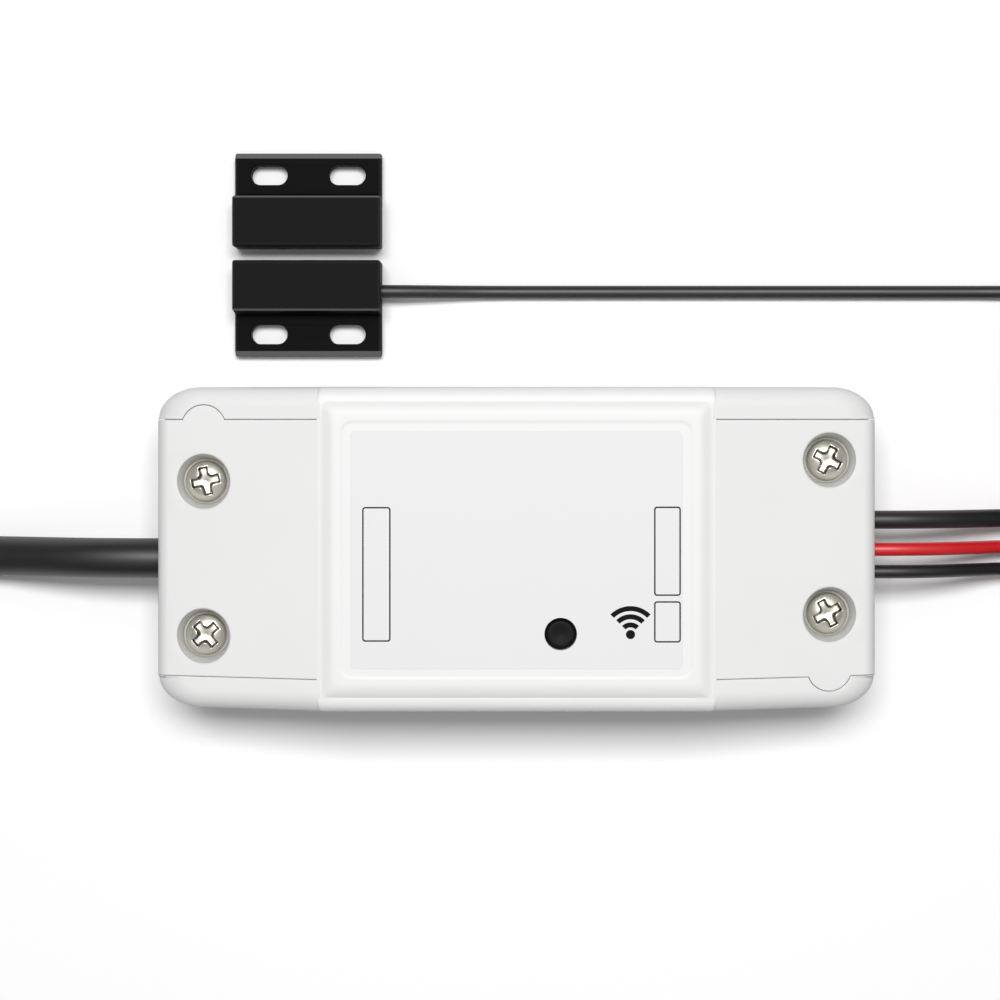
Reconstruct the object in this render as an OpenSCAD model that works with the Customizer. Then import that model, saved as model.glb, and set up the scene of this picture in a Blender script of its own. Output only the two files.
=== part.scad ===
// Garage door controller: a mains-powered relay box with a wired magnetic door contact.
// The box lies on its back with the label up. The origin is the middle of its bottom face,
// +X points to the output end, +Y to the door contact and +Z up. Sizes are in millimetres.

/* [Case] */
// Length of the case from the input end to the output end
case_l = 88; // [80:1:98]
// Width of the case
case_w = 39.2; // [39:0.2:45]
// Height of the case at its raised middle
case_h = 23; // [22.5:0.5:30]
// Plan radius of the four corners
corner_r = 4.6; // [3:0.1:5]
// Thickness of the case walls
wall = 2; // [1.6:0.1:2.4]
// Height at which the lower shell meets the upper parts
shell_split = 10; // [9.5:0.5:11]
// Length of the raised middle
saddle_l = 48; // [46:1:52]
// Radius along the long edges of the raised middle
saddle_r = 3; // [2:0.1:4]
// Radius along the short edges of the raised middle
step_r = 1.3; // [0.8:0.1:1.5]
// How far the sides of the raised middle stand in from the case, under their round edge
ledge_w = 0.6; // [0.4:0.1:1.2]
// Height of the ledge above the bottom
ledge_z = 22.4; // [20:0.1:22.4]

/* [End covers] */
// Height of an end cover where it meets the raised middle
ramp_top = 22.4; // [21:0.1:22.4]
// Height of an end cover at the end of the case
ramp_end = 17; // [16:0.5:18]
// Radius along the upper edge at each end of the case
end_r = 1.5; // [1:0.1:2]
// Width of an end cover
cover_w = 31; // [30:0.5:32]
// Gap of the seams round an end cover
seam = 0.2; // [0.1:0.05:0.3]
// Radius of the locating tab
tab_r = 2.8; // [2.4:0.1:3]
// How far the tab reaches past the seam
tab_reach = 1.9; // [1.5:0.1:2]
// Distance of the tab and the screws from the end of the case
screw_inset = 5.9; // [5.6:0.1:6.4]

/* [Cover screws] */
// Spacing of the two screws of an end cover
screw_spacing = 18.8; // [17:0.2:20]
// Shift of the screw pair away from the tab
screw_shift = 1.3; // [0:0.1:1.6]
// Diameter of a screw head
head_d = 4.8; // [4.2:0.1:5.2]
// Height of a screw head
head_h = 1.6; // [1.2:0.1:1.8]
// Diameter of a screw shank
shank_d = 2; // [1.8:0.1:2.4]
// Length of a screw shank
shank_l = 10; // [8:0.5:11]
// Height of the seat that carries a screw head
seat_z = 15.2; // [14.6:0.2:15.4]

/* [Label and button] */
// Length of the label recess
recess_l = 41.5; // [38:0.5:43]
// Width of the label recess
recess_w = 30.2; // [28:0.2:31]
// Depth of the label recess
recess_d = 0.35; // [0.3:0.05:0.6]
// Bare margin between the label and the edge of its recess
label_margin = 0.8; // [0.4:0.1:1.5]
// Thickness of the label
label_t = 0.2; // [0.1:0.05:0.3]
// Place of the button along the case
button_x = 5.3; // [3:0.1:7]
// Place of the button across the case
button_y = -10.1; // [-11:0.1:-9]
// Diameter of the button
button_d = 3.4; // [3:0.1:4]
// Running gap round the button
button_gap = 0.25; // [0.2:0.05:0.35]
// Travel of the button
button_travel = 0.4; // [0.2:0.05:0.5]

/* [Circuit board] */
// Clear gap between the circuit board and the side walls
board_gap = 1.8; // [1.5:0.1:3]
// Thickness of the circuit board
board_t = 1.6; // [1:0.1:2]
// Height of the posts that carry the circuit board
post_h = 3; // [2.5:0.5:4]
// Height of the relay
relay_h = 12.3; // [10:0.1:12.5]
// Pitch of the input terminals
input_pitch = 5; // [4.5:0.1:5.5]
// Pitch of the output terminals
output_pitch = 3.8; // [3.5:0.1:4]

/* [Door contact] */
// Length of one half of the contact
contact_l = 18.8; // [18:0.2:22]
// Width of one half, flange included
contact_w = 12.2; // [11.8:0.1:14]
// Height of the raised body of one half
contact_h = 5.6; // [5.4:0.1:8]
// Width of the raised body
contact_body_w = 6.9; // [6.6:0.1:7]
// Thickness of the screw flange
flange_t = 2.2; // [1.6:0.1:2.6]
// Gap between the two halves with the door shut
contact_gap = 1.7; // [0.5:0.1:5]
// Place of the pair along the case
contact_x = -26.7; // [-30:0.1:-26]
// Distance of the gap between the halves from the middle of the case
contact_y = 36.75; // [36:0.05:38]
// Spacing of the two slots
slot_spacing = 10; // [9:0.5:11]
// Length of a slot
slot_l = 4.7; // [4:0.1:5.4]
// Width of a slot
slot_w = 2.5; // [2:0.1:3]
// Distance of the slots from the flange edge
slot_inset = 2.85; // [2.5:0.05:3]

/* [Leads] */
// Diameter of the mains lead
mains_d = 5; // [4.6:0.1:5.4]
// Diameter of the sensor pigtail
pigtail_d = 2.3; // [2:0.1:2.6]
// Diameter of the sensor lead and the output wires
wire_d = 1.7; // [1.5:0.1:1.9]
// Total clearance of a lead in its entry
entry_fit = 0.2; // [0.1:0.05:0.4]

/* [Hidden] */
$fn = 48;

// How far a cut runs past the face it opens
over = 1;

// Case
half_l = case_l / 2;
half_w = case_w / 2;
ramp_l = half_l - saddle_l / 2;
ramp_slope = atan((ramp_top - ramp_end) / ramp_l);
ramp_r = 2.4;
round_lift = 0.02;
least_r = 0.5;
ledge_r = 1.2;
screw_x = half_l - screw_inset;
screw_ys = [screw_shift - screw_spacing / 2, screw_shift + screw_spacing / 2];
counterbore_d = head_d + 1.6;
tower_d = counterbore_d + 1.8;
tower_floor_t = 2.6;
boss_top = seat_z - tower_floor_t;
boss_d = shank_d + 3.4;
shank_hole_d = shank_d + 0.6;
pilot_d = shank_d + 0.1;
tongue_room = 1.2;
saddle_void_w = case_w - 2 * (tongue_room + wall);
tongue = [8, 0.9, 3];
tongue_x = 14;
tongue_inset = 0.1;
recess_r = 1;
label_r = 0.6;

// Circuit board and what stands on it
board_z = wall + post_h;
board_top = board_z + board_t;
board_w = case_w - 2 * (wall + board_gap);
board_l = 2 * (screw_x - tower_d / 2 - 0.2);
post_d = 4;
post_inset = 2.8;
terminal_depth = 8;
terminal_h = 9;
terminal_x = board_l / 2 - terminal_depth;
terminal_hole_d = 2.6;
terminal_screw_d = 2.8;
terminal_screw_h = 2.4;
terminal_bore_d = terminal_screw_d + 0.2;
terminal_hole_z = shell_split;
terminal_seat_z = terminal_hole_z + terminal_hole_d / 2 + 0.8;
tact_size = 6;
tact_h = 3.4;
plunger_d = 3.2;
plunger_top = board_top + tact_h + 1.2;
plunger_sink = 1;
button_hole_d = button_d + 2 * button_gap;
button_flange_d = button_hole_d + 1.4;
button_flange_t = 0.8;
button_top = case_h - recess_d + label_t;
led_at = [button_x - 6, button_y];
led_size = [1.6, 0.8, 0.6];
relay_at = [10, 7];
relay_size = [18, 10.2, relay_h];
transformer_at = [-8, 6];
transformer_size = [13, 12, 11];
capacitor_at = [-9, -8];
capacitor_d = 8;
capacitor_h = 12;
varistor_at = [-17, 10];
varistor_d = 7;
varistor_t = 3;
fuse_at = [-18, -11];
fuse_d = 3.2;
fuse_l = 8;
bridge_at = [-17, 0];
bridge_size = [4.7, 4, 2.4];
wifi_board_size = [11, 14, 0.8];
wifi_board_at = [terminal_x - 1 - wifi_board_size[0] / 2, -8.5];
wifi_shield_at = [wifi_board_at[0], -10];
wifi_shield_size = [9, 9, 2];
board_r = 1;

// Leads
entry_z = shell_split;
mains_y = -1.7;
pigtail_y = 3.1;
red_y = -0.6;
black_y = -3.4;
input_ys = [mains_y - input_pitch / 2, mains_y + input_pitch / 2];
output_mid_y = 0.4;
output_ys = [for (k = [-1.5, -0.5, 0.5, 1.5]) output_mid_y + k * output_pitch];
core_d = 1.8;
sensor_core_d = 0.9;
sheath_end = half_l - 6;
core_spread = 0.45;
sensor_core_pitch = 1.1;

// Door contact
contact_wall = 1.2;
cavity_l = contact_l - 2 * contact_wall;
cavity_w = contact_body_w - 2 * contact_wall;
cavity_h = contact_h - contact_wall;
potting_sink = 0.1;
potting_h = 1.6;
reed_d = 2.2;
reed_l = 11;
reed_z = potting_h + reed_d / 2 + 0.1;
reed_lead_d = 0.6;
reed_lead_l = 1.2;
reed_low = contact_x - reed_l / 2 - 1;
magnet_size = [14, 3.6, 2.4];
contact_lead_y = contact_y - contact_gap / 2 - contact_body_w / 2;

// Coils: each is an unbroken tube that spirals in and out again, layer on layer
coil_gap = 0.5;
coil_lift = 0.8;
loop_rings = 24;
tie_t = 0.5;
tie_fit = 0.25;
tie_w = 3;
wire_z = coil_lift + wire_d / 2;
mains_pitch = mains_d + coil_gap;
wire_pitch = wire_d + coil_gap;
// Coil: centre, tube diameter, inner radius, pitch, turns a layer, layers, start angle, turning sense
mains_coil_at = [
    [-half_l - 79, 12.5, coil_lift + mains_d / 2], mains_d, 21, mains_pitch, 1.435, 4, -50, -1
];
sensor_coil_at = [[half_l + 34.5, 18.8, wire_z], wire_d, 5.5, wire_pitch, 3.5, 4, 90, -1];
red_coil_at = [[half_l + 63, -11.5, wire_z], wire_d, 6, wire_pitch, 2.25, 2, 90, -1];
black_coil_at = [[half_l + 35, -14.3, wire_z], wire_d, 6, wire_pitch, 2.25, 2, 90, -1];

// Routes of the leads, as points along their middle. Those of the case are measured from its ends,
// and that of the sensor lead from the middle of the case.
function from_input_end(route) = [for (p = route) [p[0] - half_l, p[1], p[2]]];
function from_output_end(route) = [for (p = route) [p[0] + half_l, p[1], p[2]]];
mains_route = from_input_end([
    [6, -1.7, 10], [0, -1.7, 10], [-5, -1.7, 9.8], [-10, -1.7, 8.9], [-16, -1.7, 6.7],
    [-22, -1.7, 4.4], [-28, -1.7, 3], [-34, -1.7, 2.6], [-41, -1.7, 2.8], [-48, -2, 3.3]
]);
mains_tail_route = from_input_end([
    [-47.6, 19.9, 20.3], [-45.9, 13.7, 21.8], [-46.3, 7.3, 23.8], [-48.8, 1.4, 25.8],
    [-53, -3.5, 27.7], [-58.6, -6.8, 29.1], [-65, -8, 29.6]
]);
plug_at = [-half_l - 70, -8, 29.6];
pigtail_route = from_output_end([
    [-6, 3.1, 10], [0, 3.1, 10], [5, 3.1, 9.8], [10, 3.1, 8.5], [15, 3.1, 6.1], [20, 3.1, 3.6],
    [25, 3.1, 1.8], [30, 3.1, 1.3], [35, 3.1, 1.9], [39, 3.1, 2.5]
]);
socket_at = [half_l + 42, 3.1, 2.5];
sensor_route = [
    [-11, 32, 2.2], [-6, 32, 1.3], [-1, 32, 0.9], [5, 32, 0.9], [11, 32, 0.9], [17, 32, 0.9],
    [23, 32, 0.9], [29, 32, 0.9], [35, 32, 0.9], [41, 32, 0.9], [47, 32, 0.9], [53, 32, 0.9],
    [59, 32, 0.9], [64, 32, 1.2], [69, 32, 1.6]
];
sensor_tail_route = from_output_end([
    [41, 32, 7.6], [46, 32, 5.6], [51, 32, 3.2], [56, 31.9, 1.6], [61, 31, 0.9], [66, 28.3, 0.9],
    [70, 24, 0.9], [72, 18, 0.9], [71, 12, 1], [68, 7, 1.4], [64, 4, 2.1], [60, 3.1, 2.5]
]);
red_route = from_output_end([
    [-14, -1.5, 10], [-10, -1.5, 10], [-5, -0.6, 10], [0, -0.6, 10], [5, -0.6, 9.7], [10, -0.6, 8.2],
    [14, -0.6, 6], [18, -0.6, 3.6], [22, -0.6, 1.7], [27, -0.6, 0.9], [33, -0.6, 0.9], [39, -0.6, 0.9],
    [45, -0.6, 0.9], [51, -0.6, 1.1], [57, -0.6, 1.5]
]);
black_route = from_output_end([
    [-14, -5.3, 10], [-10, -5.2, 10], [-5, -3.5, 10], [0, -3.4, 10], [5, -3.4, 9.7], [10, -3.4, 8.2],
    [14, -3.4, 6], [18, -3.4, 3.8], [22, -3.4, 2.4], [27, -3.4, 1.8]
]);
tip_l = 5;
tip_d = 1;
wire_tail_l = 8;
wire_tail_drop = 2.9;
lead_hold = 0.4;
switch_exit = [contact_x + cavity_l / 2 - lead_hold, contact_lead_y, reed_z];

// Flat two-pin plug
plug_relief_l = 20;
plug_relief_d = [6.6, 9];
plug_body_l = 28;
plug_w = 35;
plug_h = 13.6;
plug_grip_w = 20;
plug_shoulder = 8;
pin_d = 4;
pin_l = 19;
pin_spacing = 19;
pin_hold = 6;
pin_shank_d = 3;

// In-line connector
connector_l = 8;
connector_w = 5;
connector_r = 0.8;
plug_end = socket_at + [2 * connector_l, 0, 0];

function unit(v) = v / norm(v);
function total(v, i = 0) = i < len(v) ? v[i] + total(v, i + 1) : 0;
function ease(u) = u <= 0 ? 0 : u >= 1 ? 1 : (1 - cos(180 * u)) / 2;

// Point of a coil after t turns: the radius runs in and out, and each reversal climbs one layer
function coil_point(coil, t) =
    let (turns = coil[4])
    let (phase = t - 2 * turns * floor(t / (2 * turns)))
    let (r = coil[2] + coil[3] * abs(turns - phase))
    let (climbs = [for (k = [1 : coil[5] - 1]) ease((t - k * turns) / 0.5 + 0.5)])
    let (a = coil[6] + coil[7] * 360 * t)
    coil[0] + [r * cos(a), r * sin(a), coil[3] * total(climbs)];

function coil_turns(coil) = coil[4] * coil[5];
function coil_angle(coil, t) = coil[6] + coil[7] * 360 * t;
function coil_heading(coil, t) = coil[7] * [-sin(coil_angle(coil, t)), cos(coil_angle(coil, t)), 0];
function coil_start(coil) = coil_point(coil, 0) - coil[1] * coil_heading(coil, 0);
function coil_end(coil) =
    coil_point(coil, coil_turns(coil)) + coil[1] * coil_heading(coil, coil_turns(coil));

// The straight ends of the leads that meet a coil, one diameter long and square to it
function lead_in(coil) = [coil_start(coil) - coil[1] * coil_heading(coil, 0), coil_start(coil)];
function lead_out(coil) =
    [coil_end(coil), coil_end(coil) + coil[1] * coil_heading(coil, coil_turns(coil))];

// The middle line of a coil, with a straight run of one diameter at each end
function coil_path(coil) =
    let (steps = round(coil_turns(coil) * loop_rings))
    concat(
        [coil_start(coil)],
        [for (i = [0 : steps]) coil_point(coil, coil_turns(coil) * i / steps)],
        [coil_end(coil)]
    );

// Least clear distance between stretches of a coil that lie half a turn or more apart
function least_gap(path, d) =
    min([
        for (i = [0 : len(path) - 1])
            for (j = [i + loop_rings / 2 : 1 : len(path) - 1])
                norm(path[i] - path[j])
    ]) - d;

// Direction of a path at point i
function along(path, i) = unit(path[min(i + 1, len(path) - 1)] - path[max(i - 1, 0)]);

// A closed tube swept along a path, with rings square to it
module tube(path, d, sides) {
    rings = len(path);
    points = [
        for (i = [0 : rings - 1])
            let (side = unit(cross(along(path, i), [0, 0, 1])))
            let (up = cross(side, along(path, i)))
            for (k = [0 : sides - 1])
                path[i] + d / 2 * (cos(360 * k / sides) * side + sin(360 * k / sides) * up)
    ];
    skin = [
        for (i = [0 : rings - 2])
            for (k = [0 : sides - 1])
                let (next = (k + 1) % sides)
                for (face = [
                    [i * sides + k, i * sides + next, (i + 1) * sides + next],
                    [i * sides + k, (i + 1) * sides + next, (i + 1) * sides + k]
                ]) face
    ];
    first = [for (k = [1 : sides - 2]) [0, k + 1, k]];
    last = [for (k = [1 : sides - 2]) [0, k, k + 1] + (rings - 1) * sides * [1, 1, 1]];
    polyhedron(points = points, faces = concat(skin, first, last));
}

module coil_tube(coil) {
    tube(coil_path(coil), coil[1], 6);
}

// A flat strap round the bundle of a coil, at one angle of the ring
module coil_tie(coil, angle) {
    bundle_w = coil[3] * coil[4] + coil[1] + 2 * tie_fit;
    bundle_h = coil[3] * (coil[5] - 1) + coil[1] + 2 * tie_fit;
    middle_r = coil[2] + coil[3] * coil[4] / 2;
    middle_z = coil_lift - tie_fit + bundle_h / 2;
    translate([coil[0][0], coil[0][1], middle_z])
        rotate([0, 0, angle])
            translate([middle_r, 0, 0])
                rotate([90, 0, 0])
                    linear_extrude(tie_w, center = true)
                        difference() {
                            square([bundle_w + 2 * tie_t, bundle_h + 2 * tie_t], center = true);
                            square([bundle_w, bundle_h], center = true);
                        }
}

// A rectangle with round corners
module plan(l, w, r) {
    square([l - 2 * r, w], center = true);
    square([l, w - 2 * r], center = true);
    for (x = [-1, 1], y = [-1, 1])
        translate([x * (l / 2 - r), y * (w / 2 - r)]) circle(r);
}

// An upright rectangle from height low to height high with its two upper corners round
module round_top(w, low, high, r) {
    translate([-w / 2, low]) square([w, high - low - r]);
    translate([r - w / 2, low]) square([w - 2 * r, high - low]);
    for (s = [-1, 1])
        translate([s * (w / 2 - r), high - r]) circle(r);
}

// A section in Y and Z drawn out along X
module along_x(l) {
    rotate([90, 0, 90]) linear_extrude(l) children();
}

// A bore along X
module bore_x(x, y, z, d, l) {
    translate([x, y, z]) rotate([0, 90, 0]) cylinder(d = d, h = l);
}

// A block standing on the circuit board, placed by the middle of its foot
module on_board(at, size) {
    translate([at[0] - size[0] / 2, at[1] - size[1] / 2, board_top]) cube(size);
}

// The raised middle of the case, before it is hollowed
module saddle_block() {
    intersection() {
        translate([-saddle_l / 2, 0, 0])
            along_x(saddle_l) {
                round_top(case_w, shell_split, ledge_z, ledge_r);
                round_top(case_w - 2 * ledge_w, shell_split, case_h, saddle_r);
            }
        rotate([90, 0, 0])
            linear_extrude(case_w + over, center = true)
                round_top(saddle_l, shell_split, case_h, step_r);
    }
}

// Both slopes seen from the side, run on to a ridge over the middle, with the edge at each end round.
// They lie a hair above the slope itself, so that only the round edge cuts.
module slope_profile(skin) {
    rise = (ramp_top - ramp_end) / ramp_l;
    end_x = half_l - skin;
    ridge_z = ramp_top - skin + rise * saddle_l / 2 + round_lift;
    end_z = ridge_z - rise * end_x;
    r = max(end_r - skin, least_r);
    offset(r)
        offset(delta = -r)
            polygon([[-end_x, -case_h], [end_x, -case_h], [end_x, end_z], [0, ridge_z], [-end_x, end_z]]);
}

// The sloping output end of the case above the split, inset by a skin on every outer side
module ramp_block(skin, low) {
    intersection() {
        translate([0, 0, low])
            linear_extrude(case_h) plan(case_l - 2 * skin, case_w - 2 * skin, corner_r - skin / 2);
        translate([saddle_l / 2, 0, ramp_top - skin])
            rotate([0, ramp_slope, 0])
                translate([-case_h / 2, 0, 0])
                    along_x(case_l)
                        round_top(case_w - 2 * skin, -2 * case_h, 0, max(ramp_r - skin, least_r));
        rotate([90, 0, 0])
            linear_extrude(case_w + over, center = true) slope_profile(skin);
    }
}

// Space that an end cover takes between the side cheeks, with its locating tab
module cover_space(gap) {
    translate([saddle_l / 2 + seam - gap, -cover_w / 2 - gap, shell_split])
        cube([ramp_l + over, cover_w + 2 * gap, case_h]);
    translate([screw_x, tab_r - tab_reach - cover_w / 2, shell_split])
        cylinder(r = tab_r + gap, h = case_h);
}

// The two side cheeks of the upper shell at the output end
module cheeks() {
    root = 0.4;
    difference() {
        intersection() {
            ramp_block(0, shell_split);
            translate([saddle_l / 2 - root, -half_w, 0]) cube([ramp_l + over, case_w, case_h]);
        }
        ramp_block(wall, shell_split - over);
        cover_space(seam);
    }
}

// The end cover of the output end, before its lead entries are cut
module end_cover_blank() {
    difference() {
        union() {
            difference() {
                intersection() {
                    ramp_block(0, shell_split);
                    cover_space(0);
                }
                ramp_block(wall, shell_split - over);
            }
            for (y = screw_ys)
                intersection() {
                    translate([screw_x, y, boss_top]) cylinder(d = tower_d, h = case_h);
                    ramp_block(wall / 2, shell_split);
                }
        }
        for (y = screw_ys)
            translate([screw_x, y, 0]) {
                translate([0, 0, seat_z]) cylinder(d = counterbore_d, h = case_h);
                cylinder(d = shank_hole_d, h = case_h);
            }
    }
}

// Entries of the leads through both ends of the case
module lead_entries() {
    entry_l = wall + 6;
    bore_x(-half_l - over, mains_y, entry_z, mains_d + entry_fit, entry_l);
    for (entry = [[pigtail_y, pigtail_d], [red_y, wire_d], [black_y, wire_d]])
        bore_x(half_l + over - entry_l, entry[0], entry_z, entry[1] + entry_fit, entry_l);
}

// Draws its children at the output end and, turned round, at the input end
module both_ends() {
    children();
    rotate([0, 0, 180]) children();
}

module base_shell() {
    rib_t = 1.2;
    rib_w = 12;
    rib_inset = wall + 1.6;
    color("whitesmoke") difference() {
        union() {
            difference() {
                linear_extrude(shell_split) plan(case_l, case_w, corner_r);
                translate([0, 0, wall])
                    linear_extrude(case_h)
                        plan(case_l - 2 * wall, case_w - 2 * wall, corner_r - wall / 2);
            }
            both_ends() {
                for (y = screw_ys)
                    translate([screw_x, y, wall / 2]) cylinder(d = boss_d, h = boss_top - wall / 2);
                translate([half_l - rib_inset - rib_t, -rib_w / 2, wall / 2])
                    cube([rib_t, rib_w, shell_split - wall / 2]);
            }
            for (x = [-1, 1], y = [-1, 1])
                translate([x * (board_l / 2 - post_inset), y * (board_w / 2 - post_inset), wall / 2])
                    cylinder(d = post_d, h = board_z - wall / 2);
        }
        both_ends()
            for (y = screw_ys)
                translate([screw_x, y, wall]) cylinder(d = pilot_d, h = case_h);
        lead_entries();
    }
}

module top_cover() {
    tongue_y = saddle_void_w / 2 + tongue_inset;
    color("white") difference() {
        union() {
            difference() {
                saddle_block();
                translate([-saddle_l / 2 - over, -saddle_void_w / 2, 0])
                    cube([saddle_l + 2 * over, saddle_void_w, case_h - wall]);
            }
            both_ends() cheeks();
            for (x = [-1, 1])
                both_ends()
                    translate([x * tongue_x - tongue[0] / 2, tongue_y, shell_split - tongue[2]])
                        cube([tongue[0], tongue[1], tongue[2] + over]);
        }
        translate([0, 0, case_h - recess_d])
            linear_extrude(over) plan(recess_l, recess_w, recess_r);
        translate([button_x, button_y, shell_split]) cylinder(d = button_hole_d, h = case_h);
    }
}

module input_end_cover() {
    color("white") difference() {
        rotate([0, 0, 180]) end_cover_blank();
        lead_entries();
    }
}

module output_end_cover() {
    color("white") difference() {
        end_cover_blank();
        lead_entries();
    }
}

module cover_screws() {
    dome_r = head_d;
    cross_l = head_d * 0.55;
    cross_w = 0.7;
    cross_d = 1;
    color("silver") both_ends()
        for (y = screw_ys)
            translate([screw_x, y, seat_z])
                difference() {
                    union() {
                        intersection() {
                            cylinder(d = head_d, h = head_h);
                            translate([0, 0, head_h - dome_r]) sphere(dome_r);
                        }
                        translate([0, 0, -shank_l]) cylinder(d = shank_d, h = shank_l + head_h / 2);
                    }
                    for (a = [45, 135])
                        rotate([0, 0, a])
                            translate([0, 0, head_h])
                                cube([cross_l, cross_w, 2 * cross_d], center = true);
                }
}

module label_panel() {
    color("white") difference() {
        translate([0, 0, case_h - recess_d])
            linear_extrude(label_t)
                plan(recess_l - 2 * label_margin, recess_w - 2 * label_margin, label_r);
        translate([button_x, button_y, 0]) cylinder(d = button_hole_d, h = case_h + over);
    }
}

module pairing_button() {
    rest_gap = 0.15;
    flange_top = case_h - wall - rest_gap;
    color("black") translate([button_x, button_y, 0]) {
        translate([0, 0, plunger_top]) cylinder(d = button_d, h = button_top - plunger_top);
        translate([0, 0, flange_top - button_flange_t])
            cylinder(d = button_flange_d, h = button_flange_t);
    }
}

module tact_plunger() {
    plunger_low = board_top + tact_h - plunger_sink;
    color("dimgray") translate([button_x, button_y, plunger_low])
        cylinder(d = plunger_d, h = plunger_top - plunger_low);
}

module tact_switch() {
    side_gap = 0.25;
    end_gap = 0.3;
    well_low = board_top + tact_h - plunger_sink - button_travel - end_gap;
    color("black") difference() {
        on_board([button_x, button_y], [tact_size, tact_size, tact_h]);
        translate([button_x, button_y, well_low]) cylinder(d = plunger_d + 2 * side_gap, h = tact_h);
    }
}

module status_led() {
    color("lightgreen") on_board(led_at, led_size);
}

module circuit_board() {
    color("seagreen") translate([0, 0, board_z])
        linear_extrude(board_t) plan(board_l, board_w, board_r);
}

module relay() {
    color("royalblue") on_board(relay_at, relay_size);
}

module transformer() {
    color("khaki") on_board(transformer_at, transformer_size);
}

module bulk_capacitor() {
    color("midnightblue") translate([capacitor_at[0], capacitor_at[1], board_top])
        cylinder(d = capacitor_d, h = capacitor_h);
}

module varistor() {
    color("dodgerblue") translate([varistor_at[0], varistor_at[1], board_top + varistor_d / 2])
        rotate([0, 90, 0]) cylinder(d = varistor_d, h = varistor_t, center = true);
}

module fuse_resistor() {
    color("tan") translate([fuse_at[0], fuse_at[1], board_top + fuse_d / 2])
        rotate([90, 0, 0]) cylinder(d = fuse_d, h = fuse_l, center = true);
}

module bridge_rectifier() {
    color("black") on_board(bridge_at, bridge_size);
}

module wifi_board() {
    color("darkgreen") on_board(wifi_board_at, wifi_board_size);
}

module wifi_shield() {
    color("silver") translate([0, 0, wifi_board_size[2]]) on_board(wifi_shield_at, wifi_shield_size);
}

// A row of screw terminals at the output end, with a wire hole and a screw bore for each pole
module terminal_row(ys, pitch) {
    row_w = pitch * len(ys);
    difference() {
        translate([terminal_x, ys[0] - pitch / 2, board_top]) cube([terminal_depth, row_w, terminal_h]);
        for (y = ys) {
            bore_x(terminal_x + terminal_depth / 4, y, terminal_hole_z, terminal_hole_d, terminal_depth);
            translate([terminal_x + terminal_depth / 2, y, terminal_seat_z])
                cylinder(d = terminal_bore_d, h = terminal_h);
        }
    }
}

module input_terminals() {
    color("green") mirror([1, 0, 0]) terminal_row(input_ys, input_pitch);
}

module output_terminals() {
    color("green") terminal_row(output_ys, output_pitch);
}

module terminal_screw() {
    slot_t = 0.6;
    difference() {
        cylinder(d = terminal_screw_d, h = terminal_screw_h);
        translate([-terminal_screw_d, -slot_t / 2, terminal_screw_h - slot_t])
            cube([2 * terminal_screw_d, slot_t, over]);
    }
}

module terminal_screws() {
    screw_at = terminal_x + terminal_depth / 2;
    color("silver") {
        for (y = input_ys) translate([-screw_at, y, terminal_seat_z]) terminal_screw();
        for (y = output_ys) translate([screw_at, y, terminal_seat_z]) terminal_screw();
    }
}

// A core of the mains lead, from the end of its sheath into its terminal
module mains_core(y) {
    tube([
        [-sheath_end, mains_y + (y - mains_y) * core_spread, entry_z],
        [-sheath_end + 1, mains_y + (y - mains_y) * core_spread, entry_z],
        [-sheath_end + 3, y, entry_z],
        [-terminal_x - terminal_depth / 2, y, entry_z]
    ], core_d, 8);
}

module live_core() {
    color("saddlebrown") mains_core(input_ys[0]);
}

module neutral_core() {
    color("steelblue") mains_core(input_ys[1]);
}

module sensor_cores() {
    color("white")
        for (k = [2, 3])
            tube([
                [sheath_end, pigtail_y + (k - 2.5) * sensor_core_pitch, entry_z],
                [sheath_end - 1, pigtail_y + (k - 2.5) * sensor_core_pitch, entry_z],
                [sheath_end - 3.5, output_ys[k], entry_z],
                [terminal_x + terminal_depth / 2, output_ys[k], entry_z]
            ], sensor_core_d, 8);
}

// Section of one contact half in Y and Z, with its inner face on the Z axis
module contact_section() {
    edge = 0.7;
    draft = 0.5;
    polygon([
        [0, 0], [contact_w, 0], [contact_w, flange_t - edge], [contact_w - edge, flange_t],
        [contact_body_w, flange_t], [contact_body_w - draft, contact_h], [draft, contact_h],
        [0, contact_h - draft]
    ]);
}

// Shell of one contact half, open below, with two screw slots in its flange
module contact_shell() {
    difference() {
        translate([-contact_l / 2, 0, 0]) along_x(contact_l) contact_section();
        translate([-cavity_l / 2, contact_wall, -over]) cube([cavity_l, cavity_w, cavity_h + over]);
        for (s = [-1, 1])
            translate([s * slot_spacing / 2, contact_w - slot_inset, -over]) {
                for (e = [-1, 1])
                    translate([e * (slot_l - slot_w) / 2, 0, 0]) cylinder(d = slot_w, h = contact_h);
                translate([(slot_w - slot_l) / 2, -slot_w / 2, 0])
                    cube([slot_l - slot_w, slot_w, contact_h]);
            }
    }
}

module contact_potting() {
    fit = 0.1;
    translate([-cavity_l / 2 + fit, contact_wall + fit, potting_sink])
        cube([cavity_l - 2 * fit, cavity_w - 2 * fit, potting_h - potting_sink]);
}

module at_magnet() {
    translate([contact_x, contact_y + contact_gap / 2, 0]) children();
}

module at_switch() {
    translate([contact_x, contact_y - contact_gap / 2, 0]) mirror([0, 1, 0]) children();
}

module magnet_housing() {
    color("black") at_magnet() contact_shell();
}

module bar_magnet() {
    color("gray") at_magnet()
        translate([-magnet_size[0] / 2, contact_body_w / 2 - magnet_size[1] / 2, potting_h])
            cube(magnet_size);
}

module magnet_potting() {
    color("dimgray") at_magnet() contact_potting();
}

module switch_housing() {
    color("black") difference() {
        at_switch() contact_shell();
        bore_x(
            contact_x + cavity_l / 2 - over, contact_lead_y, reed_z,
            wire_d + entry_fit, 2 * over + contact_wall
        );
    }
}

module reed_capsule() {
    color("lightcyan") bore_x(reed_low, contact_lead_y, reed_z, reed_d, reed_l);
}

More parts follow.
